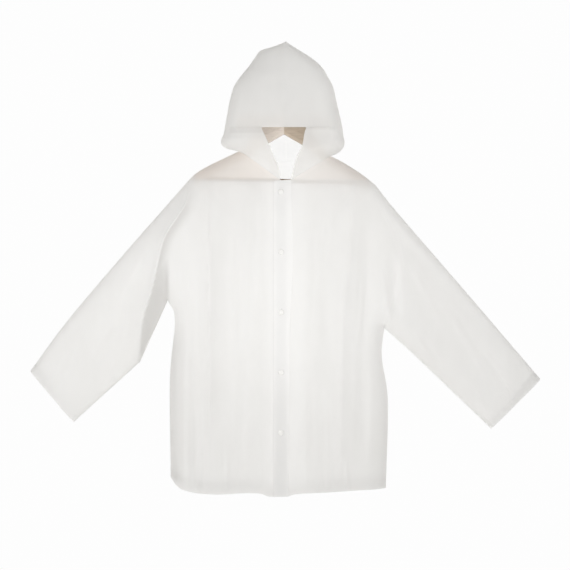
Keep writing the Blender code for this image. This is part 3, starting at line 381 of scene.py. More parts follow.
def crease_ridge(points):
    """The ridge of the sleeve's crease."""
    aside, z = beside_crease(points), points[:, 1]
    reach = np.where(aside < 0, CREASE_LOW_REACH, CREASE_HIGH_REACH)
    ridge = CREASE_RISE * (1 - np.clip(np.abs(aside) / reach, 0, 1)) ** 2
    return ridge * ease(z, *CREASE_TOP) * ease(z, *CREASE_LOW)


def underarm_fall(points, full, from_edge):
    """How much the underarm's straight slope lies below its round form."""
    x, z = points.T
    beyond = np.clip(beside_crease(points), 0, None)
    share = beyond / np.maximum(beyond + from_edge, TINY)
    fall = full * (np.sqrt(1 - share ** 2) - (1 - share))
    zone = ease(z, *UNDERARM_TOP) * ease(z, *UNDERARM_LOW) * ease(x, *UNDERARM_SIDE)
    return UNDERARM_SLOPE * fall * zone


def painted_shade_share(x, y, z):
    """Painted shade: 1 where the wearer's right sleeve folds under at its crease, less in the
    patches.
    """
    aside = beside_crease(np.stack((x, z), axis=1))
    under = ease(z, *CREASE_SHADE_UNDERARM) * ease(x, *CREASE_SHADE_SIDE)
    shares = [np.maximum(ease(aside, *CREASE_SHADE_BESIDE), under) * ease(aside, *CREASE_SHADE_EDGE)
              * ease(z, *CREASE_SHADE_TOP) * ease(z, *CREASE_SHADE_LOW) * (x < 0)]
    for shade in SHADES:
        shares.append(shade.share * window(x, shade.low_x, shade.high_x, shade.soft_x)
                      * window(z, shade.low_z, shade.high_z, shade.soft_z))
    return np.max(shares, axis=0) * (y < 0)


def painted_wood_light_share(x, y, z):
    """Painted warm light from the wood: 1 where the film lies over the hanger's arms."""
    share = np.where(x < 0, WOOD_LIGHT_SHARE[RIGHT], WOOD_LIGHT_SHARE[LEFT])
    return share * ease(z, *WOOD_LIGHT_LOW) * ease(np.abs(x), *WOOD_LIGHT_SIDE)


def nape_share(x, y, z):
    """1 on the back of the neck."""
    return ease(np.abs(x - HOOD_CENTRE), *NAPE_SIDE) * ease(z, *NAPE_TOP) * ease(y, *NAPE_BACK)


SHARES = {"painted_shade": painted_shade_share, "warm": painted_wood_light_share, "nape": nape_share}


def waves(points, turn):
    """Slight unevenness of hanging film."""
    return sum(wave.height * np.sin(math.tau * (wave.per_x * points[:, 0] + wave.per_z * points[:, 1])
                                    + wave.shift + turn) for wave in WAVES)


def depth(points, face, side):
    """How far the outer surface stands out of the plane y = 0, at each (x, z)."""
    x, z = points.T
    body = np.interp(z, BODY_DEPTH_Z, BODY_DEPTH[face])
    full = body + (SLEEVE_DEPTH[face] - body) * ease(np.abs(x), *SLEEVE_FADE)
    from_edge = nearest(EDGES, points)
    near = 1 - np.clip(from_edge / EDGE_ROUND[face], 0, 1)
    out = full * np.sqrt(1 - near ** 2)
    relief = sum((fold_height(fold, points) for fold in FOLDS[face]), waves(points, face))
    if face == FRONT and side == RIGHT:
        out -= underarm_fall(points, full, from_edge)
        relief += crease_ridge(points)
        relief -= LAP_DROP * ease(x, *LAP_FADE)
    return out + relief * ease(from_edge, 0, EDGE_ROUND[face])


def surface(grid, face, side):
    """Outer points of the cloth over a grid of (x, z) points."""
    flat = grid.reshape(-1, 2)
    out = depth(flat, face, side) + SEAM / 2
    points = np.stack((flat[:, 0], face * out, flat[:, 1]), axis=1)
    return points.reshape(*grid.shape[:2], 3)


def pull_back(points, grid, index, away):
    """Move a seam edge half the gap back from its neighbour."""
    tangent = np.gradient(grid[index], axis=0)
    tangent /= np.linalg.norm(tangent, axis=1)[:, None]
    normal = np.stack((-tangent[:, 1], tangent[:, 0]), axis=1)
    facing = np.sign((normal * np.asarray(away)).sum(1))[:, None]
    shift = normal * facing * JOIN / 2
    points[index] += np.stack((shift[:, 0], np.zeros(len(shift)), shift[:, 1]), axis=1)


# ---- grids of the panels
def fill_grid(bottom, top, inner, outer, across, up, pull=1):
    """Grid of points between four edge curves: a row for each `up`, a column for each `across`."""
    across = np.asarray(across, float)[None, :, None]
    up = np.asarray(up, float)[:, None, None]
    inner_bulge = inner[:, None] - (1 - up) * bottom[0] - up * top[0]
    outer_bulge = outer[:, None] - (1 - up) * bottom[-1] - up * top[-1]
    ruled = (1 - up) * bottom[None] + up * top[None]
    return ruled + (1 - across) * inner_bulge + across ** pull * outer_bulge


def eased(count, start, fine_count):
    """Fractions 0 to 1: even up to `start`, then closer and closer together."""
    end = start + (1 - start) * np.sin(np.linspace(0, math.pi / 2, fine_count + 1))
    return np.concatenate((np.linspace(0, start, count), end[1:]))


def spans(*parts):
    """Fractions of several parts, each (start, end, fractions within it), as one list."""
    joined = [start + (end - start) * inside for start, end, inside in parts]
    return np.concatenate([joined[0], *[part[1:] for part in joined[1:]]])


def even(count):
    """Even fractions 0 to 1."""
    return np.linspace(0, 1, count)


HEM_ROW_COUNT = CUFF_ROW_COUNT = 9
LAP_COLUMNS, NECK_COLUMNS, BACK_NECK_COLUMNS = even(11), even(34), even(30)
SHOULDER_COLUMNS = eased(24, 0.6, 16)
SIDE_ROWS = spans((0, HEM_SHARE, even(HEM_ROW_COUNT)), (HEM_SHARE, 1, even(100)))
ARMHOLE_ROWS = eased(64, 0.84, 18)
SLEEVE_ROWS = spans((0, 1 - CUFF_SHARE, even(110)), (1 - CUFF_SHARE, 1, even(CUFF_ROW_COUNT)))
SLEEVE_COLUMNS = (1 - np.cos(np.linspace(0, math.pi, 62))) / 2
BODY_UP = spans((0, ARMPIT_HEIGHT, SIDE_ROWS), (ARMPIT_HEIGHT, 1, ARMHOLE_ROWS))
ARMPIT_ROW = len(SIDE_ROWS) - 1
FRONT_ACROSS = spans((0, LAP_SHARE, LAP_COLUMNS), (LAP_SHARE, NECK_SHARE, NECK_COLUMNS),
                     (NECK_SHARE, 1, SHOULDER_COLUMNS))
BACK_HALF = spans((0, BACK_NECK_SHARE, BACK_NECK_COLUMNS), (BACK_NECK_SHARE, 1, SHOULDER_COLUMNS))
NECK_COLUMN = len(LAP_COLUMNS) + len(NECK_COLUMNS) - 2  # column at the neck point
SNAP_COLUMN_COUNT = 17  # columns of a front in which its snaps' places are looked up


def outer_edge(side):
    """Side seam and armhole, from the hem to the shoulder tip."""
    return np.vstack((along(SIDE_SEAM[side], SIDE_ROWS), along(ARMHOLE[side], ARMHOLE_ROWS)[1:]))


def hem_from(x, side):
    """Hem curve from a place x to the side's corner."""
    inside = HEM[(HEM[:, 0] - x) * side > 0][::side]
    return np.vstack(((x, np.interp(x, HEM[:, 0], HEM[:, 1])), inside))


def front_neckline(side, fractions):
    """Seam of the hood on the front, from the face opening to the neck point."""
    return straight(place(OUTLINE["hood_end"], side), place(OUTLINE["neck"], side), fractions)


def back_neckline(side, fractions):
    """Seam of the hood on the back, from the centre to the neck point."""
    neck = place(OUTLINE["neck"], side)
    middle = (np.array(BACK_NECK) + neck) / 2 - np.array((0, BACK_NECK_SAG))
    return along(smooth_curve([BACK_NECK, middle, neck]), fractions)


def necklines(side):
    """The seams of the hood on the front and on the back, as curves to measure from."""
    return front_neckline(side, even(2)), back_neckline(side, even(9))


# ---- meshes
# Points of a sheet, their normals and their distances from the nearest seam, all as grids.
Sheet = namedtuple("Sheet", "points normals seam")
Finish = namedtuple("Finish", "slot skins")  # a slot of the record, and the materials for it


def part_of(sheet, index):
    """A window of a sheet's grids."""
    return Sheet(*[values[index] for values in sheet])


def grid_normals(points, outward, wrap=False):
    """Unit normals of a grid of points, on the side where `outward` says."""
    if wrap:
        around = np.roll(points, -1, axis=1) - np.roll(points, 1, axis=1)
    else:
        around = np.gradient(points, axis=1)
    normals = unit(np.cross(around, np.gradient(points, axis=0)))
    return -normals if (normals * outward).sum() < 0 else normals


def unit(vectors):
    """The vectors at length 1, and 0 where they have none."""
    size = np.linalg.norm(vectors, axis=-1, keepdims=True)
    size[size == 0] = 1
    return vectors / size


def grid_quads(rows, columns, wrap=False):
    """Faces of a grid."""
    row, column = np.meshgrid(np.arange(rows - 1), np.arange(columns if wrap else columns - 1),
                              indexing="ij")
    a, b = row * columns + column, row * columns + (column + 1) % columns
    return np.stack((a, b, b + columns, a + columns), axis=2).reshape(-1, 4)


def rim_edges(quads):
    """Edges that only one face uses, in that face's direction."""
    edges = np.concatenate([quads[:, (k, (k + 1) % 4)] for k in range(4)])
    edges = edges[edges[:, 0] != edges[:, 1]]
    ordered = np.sort(edges, axis=1)
    key = ordered[:, 0] * (quads.max() + 1) + ordered[:, 1]
    values, counts = np.unique(key, return_counts=True)
    return edges[np.isin(key, values[counts == 1])]


def smooth_mesh(name, points, faces):
    """Mesh with smooth faces and sharp edges where it turns sharply."""
    mesh = bpy.data.meshes.new(name)
    mesh.from_pydata(points, [], faces)
    mesh.shade_smooth()
    mesh.set_sharp_from_angle(angle=SHARP_ANGLE)
    return mesh


def add_object(name, data):
    """New object in the scene."""
    made = bpy.data.objects.new(name, data)
    bpy.context.collection.objects.link(made)
    return made


def add_piece(node, mesh, finish, stand=Matrix()):
    """Piece that stands for a solid of the frame and rides on its one body."""
    for skin in finish.skins:
        mesh.materials.append(skin)
    piece = add_object(f"{node}_visual", mesh)
    piece.matrix_world = stand
    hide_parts(node)
    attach(piece, "root")
    return piece


def add_shell(node, points, normals, seam, quads, finish):
    """Closed shell from an open sheet: the sheet, its copy moved in, and a rim round the edges."""
    count = len(points)
    rim = rim_edges(quads)
    edge = np.stack((rim[:, 1], rim[:, 0], rim[:, 0] + count, rim[:, 1] + count), axis=1)
    faces = np.concatenate((quads, edge, quads[:, ::-1] + count))
    middle = points[quads[:, 0]]
    turned = np.cross(points[quads[:, 1]] - middle, points[quads[:, 2]] - middle)
    if (turned * normals[quads[:, 0]]).sum() < 0:
        faces = faces[:, ::-1]
    mesh = smooth_mesh(node, np.vstack((points, points - normals * FILM)).tolist(), faces.tolist())
    shares = {name: share(*points.T) for name, share in SHARES.items()}
    for name, values in {"seam": seam, **shares}.items():
        stored = mesh.attributes.new(name, "FLOAT", "POINT")
        stored.data.foreach_set("value", np.tile(values, 2).astype(np.float32))
    piece = add_piece(node, mesh, finish)
    inside = np.arange(len(faces)) >= len(quads)
    mesh.polygons.foreach_set("material_index", inside.astype(np.int32))
    return piece


def add_layer(node, sheet, finish, move=0.0, index=np.s_[:], wrap=False):
    """A window of a sheet, or a layer on it moved along its normals, as a shell."""
    sheet = part_of(sheet, index)
    points = (sheet.points + sheet.normals * move).reshape(-1, 3)
    outer = sheet.points.reshape(-1, 3)[:, 1]
    points[:, 1] = np.where(points[:, 1] * outer < 0, outer * EDGE_SHARE, points[:, 1])
    return add_shell(node, points, sheet.normals.reshape(-1, 3), sheet.seam.reshape(-1),
                     grid_quads(*sheet.seam.shape, wrap), finish)


# ---- body and sleeves
def seam_distance(grid, curves):
    """Distance of each grid point from the nearest seam."""
    return nearest(curves, grid.reshape(-1, 2)).reshape(grid.shape[:2])


def front_sheet(side):
    """The sheet of one front, from its lap edge to its side, and from its hem to its shoulder."""
    lap, hood_end = place(OUTLINE["lap_edge"], side), place(OUTLINE["hood_end"], side)
    top = np.vstack((straight(lap, hood_end, LAP_COLUMNS), front_neckline(side, NECK_COLUMNS)[1:],
                     along(SHOULDER[side], SHOULDER_COLUMNS)[1:]))
    bottom = along(hem_from(lap[0], side), FRONT_ACROSS)
    inner = straight(bottom[0], top[0], BODY_UP)
    grid = fill_grid(bottom, top, inner, outer_edge(side), FRONT_ACROSS, BODY_UP)
    points = surface(grid, FRONT, side)
    pull_back(points, grid, np.s_[ARMPIT_ROW:, -1], (-side, 0))
    pull_back(points, grid, np.s_[-1, :NECK_COLUMN + 1], (0, -1))
    seam = seam_distance(grid, [ARMHOLE[side], SIDE_SEAM[side], SHOULDER[side],
                                necklines(side)[0], inner])
    return Sheet(points, grid_normals(points, (0, FRONT, 0)), seam)


def back_sheet():
    """The sheet of the back, from the wearer's right side to the left."""
    halves = [np.vstack((back_neckline(side, BACK_NECK_COLUMNS),
                         along(SHOULDER[side], SHOULDER_COLUMNS)[1:])) for side in SIDES]
    across = np.concatenate((0.5 - BACK_HALF[::-1] / 2, 0.5 + BACK_HALF[1:] / 2))
    bottom = along(HEM, across) + np.array((0, HEM_DROP))
    inner, outer = outer_edge(RIGHT), outer_edge(LEFT)
    inner[0], outer[0] = bottom[0], bottom[-1]
    top = np.vstack((halves[0][::-1], halves[1][1:]))
    grid = fill_grid(bottom, top, inner, outer, across, BODY_UP)
    points = surface(grid, BACK, LEFT)
    curves = []
    for side, column in ((RIGHT, 0), (LEFT, -1)):
        pull_back(points, grid, np.s_[ARMPIT_ROW:, column], (-side, 0))
        curves += [ARMHOLE[side], SIDE_SEAM[side], SHOULDER[side], necklines(side)[1]]
    shoulder = len(SHOULDER_COLUMNS)
    pull_back(points, grid, np.s_[-1, shoulder - 1:1 - shoulder], (0, -1))
    return Sheet(points, grid_normals(points, (0, BACK, 0)), seam_distance(grid, curves))


def sleeve_sheet(side):
    """Rings of a sleeve: its front from the under edge to the top edge, then its back."""
    inner, outer = along(SLEEVE_UNDER[side], SLEEVE_ROWS), along(SLEEVE_TOP[side], SLEEVE_ROWS)
    armhole = along(ARMHOLE[side], SLEEVE_COLUMNS)
    cuff = straight(inner[-1], outer[-1], SLEEVE_COLUMNS)
    grid = fill_grid(armhole, cuff, inner, outer, SLEEVE_COLUMNS, SLEEVE_ROWS)
    faces = []
    for face in (FRONT, BACK):
        points = surface(grid, face, side)
        points[:, (0, -1), 1] = 0
        pull_back(points, grid, np.s_[0], (side, 0))
        faces.append(points)
    points = np.concatenate((faces[0], faces[1][:, -2:0:-1]), axis=1)
    seam = seam_distance(grid, [ARMHOLE[side], SLEEVE_UNDER[side]])
    seam = np.concatenate((seam, seam[:, -2:0:-1]), axis=1)
    outward = points - points.mean(axis=1, keepdims=True)
    return Sheet(points, grid_normals(points, outward, wrap=True), seam)


# ---- hood
SLIT_COLUMN = 35  # column of the hood's front where the slit ends
HOOD_FRONT = spans((0, SLIT_END, even(SLIT_COLUMN + 1)), (SLIT_END, 1, eased(4, 0.2, 14)))
HOOD_BACK = eased(26, 0.8, 16)
HOOD_MIDDLE = np.array((HOOD_CENTRE, 0, -0.04))


def ring_depth(across):
    """Depth share of the hood's cross-section, from 1 at the centre to 0 at the side."""
    return (1 - np.clip(across, 0, 1) ** RING_POWER) ** (1 / RING_POWER)


def side_x(level, side):
    """Half width of a hood level on one side, as an x."""
    return level.right_x if side == RIGHT else level.left_x


def hood_upper(side):
    """Rows of the hood above the brim, from the front centre round the side to the back."""
    across = np.concatenate((HOOD_FRONT, HOOD_BACK[-2::-1]))
    in_front = np.arange(len(across)) < len(HOOD_FRONT)
    levels = [(side_x(level, side), level.z, level.front, level.back) for level in HOOD_LEVELS]
    rows = []
    for edge_x, z, front, back in smooth_curve(levels, HOOD_STEPS):
        x = HOOD_CENTRE + (edge_x - HOOD_CENTRE) * across
        stand = np.where(in_front, -front, back) * ring_depth(across)
        rows.append(np.stack((x, stand, np.full(len(x), z)), axis=1))
    return np.array(rows)


def hood_side(side):
    """Side outline of the lower hood, from the neck point to the brim level."""
    first = HOOD_LEVELS[0]
    return smooth_curve([place(OUTLINE["neck"], side), *[place(row, side) for row in LOBE_OUTLINE],
                         (side_x(first, side), first.z)], HOOD_STEPS)


def lobe_top():
    """Across, lift and tuck of the lower hood's top edge at each front column."""
    table = smooth_curve(LOBE_TOP)
    across, lift, tucked = (np.interp(HOOD_FRONT, table[:, 0], table[:, k]) for k in (1, 2, 3))
    slit = HOOD_FRONT < SLIT_END
    return np.where(slit, across, HOOD_FRONT), lift * slit, tucked * slit


def brim_edge(side, across, lift):
    """The (x, z) of the lower hood's top edge, at shares of its half width."""
    brim = HOOD_LEVELS[0]
    return np.stack((HOOD_CENTRE + (side_x(brim, side) - HOOD_CENTRE) * across,
                     brim.z + lift), axis=1)


def stand_out(grid, seam, face, side, rise, tucked=0):
    """Rows of the lower hood: from the seam's depth to the full depth of the cross-section."""
    full = HOOD_LEVELS[0].front if face == FRONT else HOOD_LEVELS[0].back
    up = even(len(grid))[:, None]
    across = (grid[..., 0] - HOOD_CENTRE) / (grid[:, -1:, 0] - HOOD_CENTRE)
    lobe = full * ring_depth(across) - tucked * ease(up, 0, 1)
    risen = ease(up, 0, rise)
    stand = (1 - risen) * (depth(seam, face, side) + SEAM / 2) + risen * lobe
    stand[:, -1] = 0
    return np.stack((grid[..., 0], face * stand, grid[..., 1]), axis=2)


def lobe_rows(side):
    """Lower hood on the front, from the neckline up to the edge tucked in behind the brim."""
    outer = hood_side(side)
    top_across, lift, tucked = lobe_top()
    top = brim_edge(side, top_across, lift)
    inner = smooth_curve([place(OUTLINE["hood_end"], side),
                          *[place(row, side) for row in FACE_EDGE], top[0]], HOOD_STEPS)
    seam = front_neckline(side, HOOD_FRONT)
    grid = fill_grid(seam, top, inner, outer, HOOD_FRONT, even(len(outer)), HOOD_PULL)
    return stand_out(grid, seam, FRONT, side, LOBE_RISE, tucked)


def nape_rows(side):
    """Lower hood on the back, from the side outline to the centre seam."""
    outer = hood_side(side)
    up = even(len(outer))
    seam = back_neckline(side, HOOD_BACK)
    top = brim_edge(side, HOOD_BACK, np.zeros(len(HOOD_BACK)))
    grid = fill_grid(seam, top, straight(seam[0], top[0], up), outer, HOOD_BACK, up, HOOD_PULL)
    return stand_out(grid, seam, BACK, side, NAPE_RISE)[:, -2::-1]


def hood_quads(lower_rows, upper_rows, columns):
    """Faces of the hood: two blocks that share their edge from the slit to the centre back."""
    lower = grid_quads(lower_rows, columns)
    upper = grid_quads(upper_rows, columns) + lower_rows * columns
    shared = ((upper >= lower_rows * columns + SLIT_COLUMN)
              & (upper < (lower_rows + 1) * columns))
    return np.concatenate((lower, np.where(shared, upper - columns, upper)))


def sheet_normals(points, quads, middle):
    """Sum of the normals of the faces around each point, away from the middle."""
    sums = np.zeros_like(points)
    a, b, c, d = (points[quads[:, k]] for k in range(4))
    face = np.cross(c - a, d - b)
    face *= np.sign((face * ((a + b + c + d) / 4 - middle)).sum())
    for k in range(4):
        np.add.at(sums, quads[:, k], face)
    return sums


def hood_sheet(side):
    """One half of the hood: its points in a list, its faces, and the shapes of its two blocks."""
    lower = np.concatenate((lobe_rows(side), nape_rows(side)), axis=1)
    pull_back(lower, lower[:, :, ::2], np.s_[0], (0, 1))
    upper = hood_upper(side)
    points = np.vstack((lower.reshape(-1, 3), upper.reshape(-1, 3)))
    quads = hood_quads(len(lower), len(upper), lower.shape[1])
    normals = sheet_normals(points, quads, HOOD_MIDDLE)
    on_centre = (points[:, 0] - HOOD_CENTRE) * side < JOIN / 2
    points[on_centre, 0] = HOOD_CENTRE + side * JOIN / 2
    normals[on_centre, 0] = 0
    from_neck = [nearest([neckline], points[:, ::2]) for neckline in necklines(side)]
    whole = Sheet(points, unit(normals), np.where(points[:, 1] < 0, *from_neck))
    return whole, quads, lower.shape[:2], upper.shape[:2]


def block(whole, start, shape):
    """One block of the hood as a sheet of grids."""
    return Sheet(*[values[start:start + math.prod(shape)].reshape(*shape, *values.shape[1:])
                   for values in whole])


# ---- closing
def turned_mesh(name, profile, radius, height):
    """Solid turned about +Z from a profile that starts and ends on the axis."""
    angles = math.tau * np.arange(TURN_SEGMENTS) / TURN_SEGMENTS
    points = [(0.0, 0.0, 0.0)]
    for spot in profile[1:-1]:
        wide, high = spot.radius * radius, spot.height * height
        points += [(wide * math.cos(angle), wide * math.sin(angle), high) for angle in angles]
    points.append((0.0, 0.0, profile[-1].height * height))
    last = len(points) - 1
    faces = []
    for k in range(TURN_SEGMENTS):
        after = (k + 1) % TURN_SEGMENTS
        faces.append((0, 1 + after, 1 + k))
        for ring in range(len(profile) - 3):
            low, high = 1 + ring * TURN_SEGMENTS, 1 + (ring + 1) * TURN_SEGMENTS
            faces.append((low + k, low + after, high + after, high + k))
        faces.append((last, last - TURN_SEGMENTS + k, last - TURN_SEGMENTS + after))
    return smooth_mesh(name, points, faces)


def on_sheet(sheet, x, z):
    """Point and normal of a front's sheet at a place (x, z) near its closing."""
    near = part_of(sheet, np.s_[:, :SNAP_COLUMN_COUNT])
    both = np.concatenate((near.points, near.normals), axis=2)
    both = both[:, np.argsort(both[0, :, 0])]
    rows = np.array([[np.interp(x, row[:, 0], values) for values in row.T] for row in both])
    found = [np.interp(z, rows[:, 2], values) for values in rows.T]
    return Vector(found[:3]), Vector(found[3:]).normalized()


def standing(point, normal):
    """Place of a turned piece on a surface point, with its axis along the normal."""
    return Matrix.Translation(point) @ normal.to_track_quat("Z", "Y").to_matrix().to_4x4()


# ---- materials
class Nodes:
    """Small helper to wire the nodes of a material or of the world."""

    def __init__(self, owner):
        owner.use_nodes = True
        owner.node_tree.nodes.clear()
        self.owner = owner

    def add(self, kind, links, output=0, **values):
        """A node with its settings, and with links and numbers on its sockets; gives an output."""
        node = self.owner.node_tree.nodes.new(f"ShaderNode{kind}")
        for name, value in values.items():
            setattr(node, name, value)
        for name, value in links.items():
            socket = node.inputs[name]
            if isinstance(value, bpy.types.NodeSocket):
                self.owner.node_tree.links.new(value, socket)
            else:
                socket.default_value = (*value, 1) if socket.type == "RGBA" else value
        return node.outputs[output]

    def finish(self, kind, shader):
        """Send a shader to the output; returns the finished material or world."""
        node = self.owner.node_tree.nodes.new(f"ShaderNodeOutput{kind}")
        self.owner.node_tree.links.new(shader, node.inputs[0])
        return self.owner

    def place(self, kind="Object"):
        """The place of a point on its object, or what else a TexCoord node gives."""
        return self.add("TexCoord", {}, kind)

    def attribute(self, name):
        """A value stored at the mesh's points."""
        return self.add("Attribute", {}, "Fac", attribute_name=name)

    def noise(self, scale, detail=2.0, roughness=0.5, stretch=(1, 1, 1)):
        """Noise over the object, in cells per metre."""
        mapped = self.add("Mapping", {"Vector": self.place(), "Scale": stretch})
        return self.add("TexNoise", {"Vector": mapped, "Scale": scale, "Detail": detail,
                                     "Roughness": roughness})

    def ramp(self, value, low, high, start=0.3, end=0.7):
        """Value carried over from start..end, most of a noise's range, to low..high."""
        return self.add("MapRange", {"Value": value, "From Min": start, "From Max": end,
                                     "To Min": low, "To Max": high})

    def math(self, operation, first, second):
        """Two values joined by an operation."""
        return self.add("Math", {0: first, 1: second}, operation=operation)

    def colour(self, factor, first, second):
        """Colour between two by a factor."""
        return self.add("Mix", {0: factor, 6: first, 7: second}, 2, data_type="RGBA")

    def bump(self, height, distance, strength):
        """Normal that follows a height."""
        return self.add("Bump", {"Height": height, "Distance": distance, "Strength": strength})

    def principled(self, colour, roughness, normal, **more):
        """The main shader; what else is set on it has _ for a space in its name."""
        named = {name.replace("_", " "): value for name, value in more.items()}
        return self.add("BsdfPrincipled", {"Base Color": colour, "Roughness": roughness,
                                           "Normal": normal, **named})

    def mix(self, factor, first, second):
        """Blend of two shaders."""
        return self.add("MixShader", {0: factor, 1: first, 2: second})


WELD_WIDTH, WELD_SOFT = 0.0065, 0.0008  # the welded band along a seam, and its soft edge
# Film: two tints, the share of the light that it scatters, how much more it scatters along a
# weld, how much of the scattered light goes through, and whether it takes the wood's painted light.
FilmLook = namedtuple("FilmLook", "tints solid weld_solid through warmed")
FILM_TINTS = (0.960, 0.955, 0.946), (0.985, 0.982, 0.976)
# The hood's film has darker tints: painted shade of the hood.
SHADED_HOOD_TINTS = (0.928, 0.924, 0.914), (0.957, 0.954, 0.946)
STRIP_TINTS = (0.982, 0.977, 0.969), (0.994, 0.991, 0.985)
FILM_LOOKS = {
    "frosted_film": FilmLook(FILM_TINTS, 0.80, 0.03, 0.36, True),
    "hood_film_shaded": FilmLook(SHADED_HOOD_TINTS, 0.80, 0.03, 0.36, False),
    "doubled_film": FilmLook(FILM_TINTS, 0.42, 0.06, 0.30, True),
    "placket_film": FilmLook(STRIP_TINTS, 0.885, 0.02, 0.15, True),
}
SOLID_RANGE = 0.03  # the scattered share varies this much either way
PAINTED_SHADE_TINT = (0.74, 0.73, 0.715)  # painted shade, where the film lies folded under itself and in the shade patches
PAINTED_SHADE_DEPTH = 0.9  # the most of that tint
PAINTED_WOOD_LIGHT_TINT = (0.992, 0.950, 0.912)  # painted warm light, where it lies over the hanger's wood
FROSTED_SHARE = 0.48  # share of the light let through that the frosted skin blurs
# At the nape: that share, the share of the scattered light that goes through, and how much
# less of the light is scattered.
NAPE_FROSTED, NAPE_THROUGH, NAPE_CLEARER = 0.2, 0.9, 0.72


def film_material(name):
    """Frosted film: part of the light goes straight through, the rest is scattered."""
    look = FILM_LOOKS[name]
    nodes = Nodes(bpy.data.materials.new(name))
    weld = nodes.ramp(nodes.attribute("seam"), 1, 0, WELD_WIDTH, WELD_WIDTH + WELD_SOFT)
    clouds = nodes.noise(7.0, 4.0, 0.55, (1, 1, 0.45))
    streaks = nodes.noise(46.0, 3.0, 0.6, (1, 1, 0.16))
    frost = nodes.noise(1500.0, 3.0, 0.7)
    tone = nodes.math("ADD", nodes.ramp(clouds, 0, 0.75, 0.35, 0.65),
                      nodes.ramp(streaks, 0, 0.25, 0.4, 0.7))
    colour = nodes.colour(tone, *look.tints)
    # Painted warm light from the hanger's wood.
    if look.warmed:
        colour = nodes.colour(nodes.attribute("warm"), colour, PAINTED_WOOD_LIGHT_TINT)
    # Painted shade, from the crease's fold and from the shade patches.
    painted_shade = nodes.ramp(nodes.attribute("painted_shade"), 0, PAINTED_SHADE_DEPTH, 0, 1)
    colour = nodes.colour(painted_shade, colour, PAINTED_SHADE_TINT)
    nape = nodes.attribute("nape")
    ridge = nodes.math("MULTIPLY", weld, nodes.ramp(nodes.noise(420.0), 0.4, 1))
    height = nodes.math("ADD", nodes.math("MULTIPLY", frost, 0.35), ridge)
    normal = nodes.bump(height, 0.00012, 0.5)
    sheen = nodes.principled(colour, nodes.ramp(clouds, 0.36, 0.50), normal, IOR=1.46,
                             Specular_IOR_Level=0.45)
    through = nodes.add("BsdfTranslucent", {"Color": colour, "Normal": normal})
    unblurred = nodes.add("BsdfTransparent", {})
    blurred = nodes.add("BsdfGlass", {"Roughness": 0.50, "IOR": 1.40})
    clear = nodes.mix(nodes.ramp(nape, FROSTED_SHARE, NAPE_FROSTED, 0, 1), unblurred, blurred)
    body = nodes.mix(nodes.ramp(nape, look.through, NAPE_THROUGH, 0, 1), sheen, through)
    solid = nodes.ramp(clouds, look.solid - SOLID_RANGE, look.solid + SOLID_RANGE)
    haze = nodes.math("ADD", solid, nodes.math("MULTIPLY", weld, look.weld_solid))
    haze = nodes.math("SUBTRACT", haze, nodes.ramp(nape, 0, NAPE_CLEARER, 0, 1))
    return nodes.finish("Material", nodes.mix(haze, clear, body))


def inside_material():
    """Inner skin of the film: a faint sheen, for the outer skin already scatters the light."""
    nodes = Nodes(bpy.data.materials.new("film_inside"))
    frost = nodes.noise(900.0, 3.0, 0.7)
    colour = nodes.colour(frost, (0.94, 0.935, 0.92), (0.98, 0.975, 0.965))
    sheen = nodes.principled(colour, 0.42, nodes.bump(frost, 0.00005, 0.4))
    clear = nodes.add("BsdfTransparent", {})
    return nodes.finish("Material", nodes.mix(nodes.ramp(frost, 0.03, 0.07), clear, sheen))


def snap_material():
    """Moulded milky plastic with a satin skin."""
    nodes = Nodes(bpy.data.materials.new("snap_plastic"))
    clouds = nodes.noise(240.0, 3.0)
    colour = nodes.colour(clouds, (0.86, 0.85, 0.83), (0.92, 0.91, 0.895))
    normal = nodes.bump(nodes.noise(1800.0, 2.0), 0.00006, 0.3)
    return nodes.finish("Material", nodes.principled(
        colour, nodes.ramp(clouds, 0.25, 0.4), normal, Subsurface_Weight=0.15,
        Subsurface_Radius=(0.003, 0.003, 0.003)))


ARM_JOINT = 0.0012  # half width of the step between the wood's paler and darker halves
PALE_FROM, PALE_FULL = 0.0036, 0.0120  # the arms' ends are paler, by the square of x
PALE_WOOD, DARK_PORES = (0.84, 0.76, 0.69), (0.22, 0.14, 0.08)
ARM_TINTS = (0.42, 0.335, 0.245), (0.61, 0.515, 0.42)
BAR_TINTS = (0.24, 0.155, 0.090), (0.36, 0.255, 0.165)


def wood_material(name, tints, right_paler=0, left_paler=0, ends_paler=0):
    """Satin-varnished wood with straight grain along the hanger."""
    nodes = Nodes(bpy.data.materials.new(name))
    broad = nodes.noise(30.0, 4.0, 0.6, (0.25, 1, 1))
    fibres = nodes.noise(420.0, 4.0, 0.65, (0.035, 1, 1))
    pores = nodes.noise(900.0, 2.0, 0.5, (0.03, 1, 1))
    tone = nodes.math("ADD", nodes.ramp(broad, 0, 0.6), nodes.ramp(fibres, 0, 0.4))
    across = nodes.add("SeparateXYZ", {0: nodes.place()}, "X")
    half = nodes.ramp(across, right_paler, left_paler, -ARM_JOINT, ARM_JOINT)
    ends = nodes.ramp(nodes.math("MULTIPLY", across, across), 0, ends_paler, PALE_FROM, PALE_FULL)
    colour = nodes.colour(nodes.math("MAXIMUM", half, ends), nodes.colour(tone, *tints), PALE_WOOD)
    colour = nodes.colour(nodes.ramp(pores, 0, 0.3, 0.62, 0.70), colour, DARK_PORES)
    return nodes.finish("Material", nodes.principled(
        colour, nodes.ramp(fibres, 0.38, 0.52), nodes.bump(fibres, 0.00015, 0.3),
        Coat_Weight=0.35, Coat_Roughness=0.2))


def wire_material():
    """Bright plated wire with fine drawing marks."""
    nodes = Nodes(bpy.data.materials.new("plated_wire"))
    marks = nodes.noise(700.0, 3.0, 0.6, (1, 1, 0.08))
    colour = nodes.colour(marks, (0.52, 0.52, 0.53), (0.68, 0.68, 0.69))
    return nodes.finish("Material", nodes.principled(
        colour, nodes.ramp(marks, 0.2, 0.36), nodes.bump(marks, 0.00004, 0.3), Metallic=1.0))


# ---- the whole object
# Flat width and length of what shows of a sheet of film, and its area.
Cut = namedtuple("Cut", "width length area")


